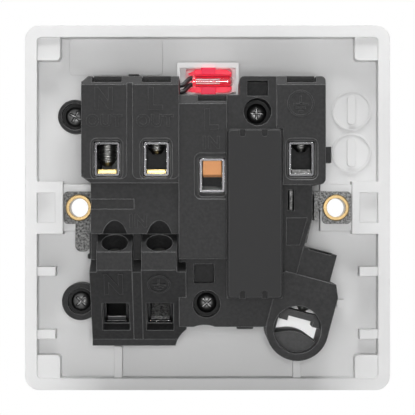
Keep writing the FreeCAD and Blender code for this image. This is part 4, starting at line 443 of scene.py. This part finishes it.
# Incoming live bar: copper strip, blanked and folded over in its cage behind
# the wire window. It is dull from handling, and it carries the fuse clip.
copper, shader = new_material("copper_strip", (0.42, 0.19, 0.075), roughness=0.5, metallic=0.6)
add_grain(copper, shader, scale=1100.0, depth=0.00002, edge=0.00015)
wear(copper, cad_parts["bar_line_in"])


# Earth straps: stamped from plated steel sheet under the fixing eyelets. The
# rolled surface is coarse, and the left one is coloured darker than the right one.
for name, dark, light in (("earth_strap_left", (0.02, 0.02, 0.02), (0.26, 0.26, 0.255)),
                          ("earth_strap_right", (0.05, 0.05, 0.05), (0.36, 0.36, 0.355))):
    strap, shader = new_material(name + "_plating", light, roughness=0.6, metallic=0.3)
    mottle(strap, shader, dark, light, scale=2200.0, low=0.36, high=0.62)
    add_grain(strap, shader, scale=2200.0, depth=0.00004, edge=0.00015)
    wear(strap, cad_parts[name])


# Eyelets: short brass tubes rolled over on the rear, through which the fixing
# screws pass. They rivet the straps to the tray.
eyelet, shader = new_material("eyelet_brass", (0.19, 0.135, 0.065), roughness=0.32, metallic=1.0)
add_grain(eyelet, shader, scale=800.0, depth=0.000005, edge=0.00025)
for name in ("eyelet_left", "eyelet_right"):
    wear(eyelet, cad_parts[name])


# Case screws: steel pan heads with a cross recess, four of them, driven from
# the rear through the housing into the tray's pillars. Their steel is painted
# dark for the shade in the wells they sit in.
case_steel, shader = new_material("case_screw_steel", (0.08, 0.08, 0.08), roughness=0.33, metallic=1.0)
add_grain(case_steel, shader, scale=1500.0, depth=0.000008, edge=0.00005)
lug_level, post_level = 0.0004, 0.0080
lug_shank, post_shank = 0.0058, 0.0134


def pan_head(name, place, turned, shank):
    """A domed head with a cross recess, drawn as rings whose height follows both."""
    radius, height, shank_radius = 0.00225, 0.0016, 0.0012
    dome_drop, skirt_top = 0.34, 0.4
    arm_long, arm_half, arm_edge = 0.00145, 0.00030, 0.00012
    recess, recess_rise = 0.0009, 0.0003
    dome_rings, around = 27, 96
    corners, faces = [], []

    def add_point(x, level, z):
        corners.append(Vector((x, level, z)) + Vector(place))

    add_point(0.0, height - recess, 0.0)
    for i in range(1, dome_rings + 3):
        reach = radius * min(1.0, i / dome_rings)
        for k in range(around):
            angle = 2 * math.pi * k / around
            x, z = reach * math.cos(angle), reach * math.sin(angle)
            level = height * (1.0 - dome_drop * (reach / radius) ** 3)
            if i > dome_rings:
                level = height * (skirt_top if i == dome_rings + 1 else 0.0)
            along = abs(x * math.cos(turned) + z * math.sin(turned))
            across = abs(z * math.cos(turned) - x * math.sin(turned))
            arm = max(min(arm_long - along, arm_half - across), min(arm_long - across, arm_half - along))
            sunk = min(1.0, max(0.0, arm / arm_edge)) * (recess - recess_rise * reach / radius)
            add_point(x, level - sunk, z)
    for level in (0.0, -shank):
        for k in range(around):
            angle = 2 * math.pi * k / around
            add_point(shank_radius * math.cos(angle), level, shank_radius * math.sin(angle))
    join_point(faces, around)
    last = len(corners) - around
    for start in range(1, last, around):
        join_rows(faces, start, start + around, around)
    faces.append([last + k for k in range(around)])
    return mesh_piece(name, corners, faces)


for number, place, turned, shank in ((1, (0.03085, lug_level, 0.0212), 0.5, lug_shank),
                                     (2, (0.0295, lug_level, -0.0218), 0.75, lug_shank),
                                     (3, (-0.01125, post_level, 0.0216), 0.02, post_shank),
                                     (4, (0.0002, post_level, -0.0218), 0.8, post_shank)):
    piece = pan_head(f"case_screw_head_{number}", place, turned, shank)
    wear(case_steel, piece)
    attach(piece, "unit")
    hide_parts(f"case_screw_{number}")


# Rocker: white like the tray, with a trunnion on each side in the tray's ears.
# Its nylon plungers and steel springs are pushed in from behind.
rocker_white, shader = new_material("rocker_white", (0.84, 0.84, 0.84), roughness=0.3)
add_grain(rocker_white, shader, scale=600.0, depth=0.000004, edge=0.0003)
wear(rocker_white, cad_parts["rocker"])
nylon, shader = new_material("plunger_nylon", (0.72, 0.70, 0.62), roughness=0.4)
add_grain(nylon, shader, scale=700.0, depth=0.000006, edge=0.0001)
wire, shader = new_material("spring_wire", (0.65, 0.65, 0.66), roughness=0.3, metallic=1.0)
add_grain(wire, shader, scale=900.0, depth=0.000003, edge=0.00005)
for pole in ("line", "neutral"):
    wear(nylon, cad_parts["plunger_" + pole])
    wear(wire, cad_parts["spring_" + pole])


# Fuse carrier: a white drawer from the front with cheeks round the fuse, and
# a finger notch near its top. Fuse: glazed ceramic with two plated caps.
carrier_white, shader = new_material("carrier_white", (0.83, 0.83, 0.83), roughness=0.34)
add_grain(carrier_white, shader, scale=700.0, depth=0.000006, edge=0.00025)
wear(carrier_white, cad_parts["fuse_carrier"])
ceramic, shader = new_material("fuse_ceramic", (0.78, 0.74, 0.64), roughness=0.25)
add_grain(ceramic, shader, scale=500.0, depth=0.00001, edge=0.0001)
wear(ceramic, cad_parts["fuse_body"])
plated, shader = new_material("fuse_cap_plating", (0.78, 0.74, 0.66), roughness=0.2, metallic=1.0)
add_grain(plated, shader, scale=900.0, depth=0.000005, edge=0.0001)
for name in ("fuse_cap_upper", "fuse_cap_lower"):
    wear(plated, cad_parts[name])


# Neon: a red lens in the tray and a red holder behind it, both moulded in
# polycarbonate, with a painted glow for light through the red plastic. A darker
# band crosses the holder.
red, shader = new_material("neon_red", (0.82, 0.006, 0.035), roughness=0.3, specular=0.15)
shader.inputs["Transmission Weight"].default_value = 0.05
# Painted glow: emission stands for light through the translucent red.
shader.inputs["Emission Color"].default_value = (1.0, 0.07, 0.13, 1.0)
shader.inputs["Emission Strength"].default_value = 0.3
add_grain(red, shader, scale=700.0, depth=0.00001, edge=0.0002)
for name in ("neon_lens", "neon_holder"):
    wear(red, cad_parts[name])
band_red, shader = new_material("neon_band_red", (0.72, 0.006, 0.05), roughness=0.3, specular=0.15)
# Painted glow on the band, a little weaker.
shader.inputs["Emission Color"].default_value = (1.0, 0.02, 0.08, 1.0)
shader.inputs["Emission Strength"].default_value = 0.25
add_grain(band_red, shader, scale=700.0, depth=0.00001, edge=0.0002)
band_right, band_left = -0.0019, 0.0015
band_deep, band_proud = 0.0012, 0.0002
holder_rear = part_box("neon_holder")[1][1]
for name, low_z, high_z in (("neon_band_upper", 0.03115, 0.03275), ("neon_band_lower", 0.02655, 0.02815)):
    piece = plain_block(name, (band_right, holder_rear - band_deep, low_z),
                        (band_left, holder_rear + band_proud, high_z))
    wear(band_red, piece)
    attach(piece, "unit")


# Neon seat: a white deck just below the rim of the neon's frame, moulded with
# the tray, with a rounded pocket that the holder lies in.
deck_middle, deck_half_wide, deck_half_tall, deck_corner = (-0.0001, 0.0302), 0.00652, 0.0031, 0.0003
pocket_middle, pocket_half_wide, pocket_half_tall, pocket_corner = (-0.0003, 0.02965), 0.0054, 0.0029, 0.0006
deck_front, deck_rear = -0.0058, -0.0012


def rounded_row(middle, half_wide, half_tall, corner, level, around):
    """Points round an upright rectangle with rounded corners, at one level of Y."""
    row = []
    for k in range(around):
        angle = 2 * math.pi * (k + 0.5) / around
        side_x, side_z = math.copysign(1, math.cos(angle)), math.copysign(1, math.sin(angle))
        x = side_x * (half_wide - corner) + corner * math.cos(angle)
        z = side_z * (half_tall - corner) + corner * math.sin(angle)
        row.append((middle[0] + x, level, middle[1] + z))
    return row


around = 64
corners, faces = [], []
for shape in ((deck_middle, deck_half_wide, deck_half_tall, deck_corner),
              (pocket_middle, pocket_half_wide, pocket_half_tall, pocket_corner)):
    for level in (deck_front, deck_rear):
        corners += rounded_row(*shape, level, around)
outside_front, outside_rear, pocket_front, pocket_rear = 0, around, 2 * around, 3 * around
join_rows(faces, outside_front, outside_rear, around, -1)
join_rows(faces, outside_rear, pocket_rear, around, -1)
join_rows(faces, pocket_front, pocket_rear, around)
deck = mesh_piece("neon_deck", corners, faces)
wear(white, deck)
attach(deck, "unit")


# Neon tube: thin drawn glass, sealed at the pinch where the wires enter, with
# two bright electrodes inside. It lies loose in the holder's channel.
glass, shader = new_material("neon_glass", (1.0, 0.90, 0.90), roughness=0.04)
shader.inputs["Transmission Weight"].default_value = 1.0
shader.inputs["IOR"].default_value = 1.45
wear(glass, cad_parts["neon_tube"])
wear(wire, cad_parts["neon_electrodes"])


# Neon leads: two sleeved wires from the tube's foot into the housing's side,
# soldered inside to the outgoing bars.
sleeve, shader = new_material("lead_sleeve", (0.03, 0.03, 0.031), roughness=0.4)
add_grain(sleeve, shader, scale=600.0, depth=0.00001, edge=0.00005)
for name in ("neon_lead_upper", "neon_lead_lower"):
    wear(sleeve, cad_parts[name])


# Cord clamp: a black moulded jaw pressed down on the cord by a plated screw in
# the housing's leaning tower.
wear(black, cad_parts["clamp_jaw"])
outlet_x, outlet_z = -0.0203, -0.0276
clamp_lean = Matrix.Rotation(-math.radians(15.0), 3, "Y")
clamp_deep, clamp_shift, clamp_tip_above = 0.0056, -0.0005, 0.00392
tip = Vector((outlet_x, clamp_deep, outlet_z)) + clamp_lean @ Vector((clamp_shift, 0.0, clamp_tip_above))
piece = threaded_screw("cord_clamp_screw", clamp_lean, tip, radius=0.0016, core=0.0013,
                       pitch=0.0007, length=0.00968, head_radius=0.0026)
wear(screw_steel, piece)
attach(piece, "clamp")
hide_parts("clamp_screw")


# Stage: a wide pale floor under the standing unit in a pale studio. Both are
# plain white to the camera, in reflections and through glass.
floor_half, floor_gap = 1.5, 0.0002
floor_level = cad_box[0][2] - floor_gap


def show_white(tree, lit, plain, output):
    """Shows camera, glossy and transmission rays the plain shader, and others the lit one."""
    path, mix = tree.nodes.new("ShaderNodeLightPath"), tree.nodes.new("ShaderNodeMixShader")
    either, seen = tree.nodes.new("ShaderNodeMath"), tree.nodes.new("ShaderNodeMath")
    either.operation = seen.operation = "MAXIMUM"
    tree.links.new(path.outputs["Is Camera Ray"], either.inputs[0])
    tree.links.new(path.outputs["Is Glossy Ray"], either.inputs[1])
    tree.links.new(either.outputs["Value"], seen.inputs[0])
    tree.links.new(path.outputs["Is Transmission Ray"], seen.inputs[1])
    tree.links.new(seen.outputs["Value"], mix.inputs["Fac"])
    tree.links.new(lit, mix.inputs[1])
    tree.links.new(plain, mix.inputs[2])
    tree.links.new(mix.outputs["Shader"], output)


corners = [(x * floor_half, y * floor_half, floor_level) for x, y in ((-1, -1), (1, -1), (1, 1), (-1, 1))]
floor = mesh_piece("floor", corners, [(0, 1, 2, 3)])
pale, shader = new_material("pale_floor", (0.8, 0.8, 0.8), roughness=0.9)
tree = pale.node_tree
glow = tree.nodes.new("ShaderNodeEmission")
glow.inputs["Strength"].default_value = 1.0
show_white(tree, shader.outputs["BSDF"], glow.outputs["Emission"],
           tree.nodes["Material Output"].inputs["Surface"])
wear(pale, floor)

world = bpy.data.worlds.new("studio")
bpy.context.scene.world = world
world.use_nodes = True
tree = world.node_tree
sky, clear = tree.nodes["Background"], tree.nodes.new("ShaderNodeBackground")
sky.inputs["Color"].default_value = (1.0, 1.0, 1.0, 1.0)
sky.inputs["Strength"].default_value = 0.06
clear.inputs["Color"].default_value = (1.0, 1.0, 1.0, 1.0)
show_white(tree, sky.outputs["Background"], clear.outputs["Background"],
           tree.nodes["World Output"].inputs["Surface"])


# Lamps: a soft one high above the housing, a small one behind the camera, weak
# ones at both sides, and one for the front of the plate. All face the unit.
for name, place, power, width in (("top", (0.0, 0.12, 0.40), 1.70, 0.25),
                                  ("ring", (0.0, 0.47, 0.0), 0.68, 0.08),
                                  ("left", (0.45, 0.35, 0.2), 0.30, 0.3),
                                  ("right", (-0.45, 0.35, 0.2), 0.05, 0.3),
                                  ("front", (0.2, -0.7, 0.5), 3.0, 0.5)):
    lamp = bpy.data.lights.new(name, "AREA")
    lamp.energy = power
    lamp.size = width
    stand = bpy.data.objects.new(name, lamp)
    bpy.context.collection.objects.link(stand)
    stand.location = place
    stand.rotation_euler = (-Vector(place)).to_track_quat("-Z", "Y").to_euler()

# A narrow beam from just behind the camera reaches through the cord outlet to
# the tray's floor, which the soft lamps don't reach.
outlet_face = 0.016
lamp = bpy.data.lights.new("outlet_beam", "SPOT")
lamp.energy = 4.8
lamp.spot_size = math.radians(1.35)
lamp.spot_blend = 0.15
lamp.shadow_soft_size = 0.001
beam = bpy.data.objects.new("outlet_beam", lamp)
bpy.context.collection.objects.link(beam)
beam.location = (0.0, 0.452, 0.0)
aim = Vector((outlet_x, outlet_face, outlet_z)) - beam.location
beam.rotation_euler = aim.to_track_quat("-Z", "Y").to_euler()


# Camera: straight behind the unit, with a long lens, so that the plate fills
# the square picture as it does in the photograph.
camera = bpy.data.objects.new("camera", bpy.data.cameras.new("camera"))
bpy.context.collection.objects.link(camera)
camera.location = (0.0, 0.45, 0.00005)
camera.rotation_euler = (math.radians(90.0), 0.0, math.radians(180.0))
camera.data.sensor_width = 36.0
camera.data.lens = 166.56
camera.data.clip_start = 0.01
bpy.context.scene.camera = camera
bpy.context.scene.view_settings.view_transform = "Standard"
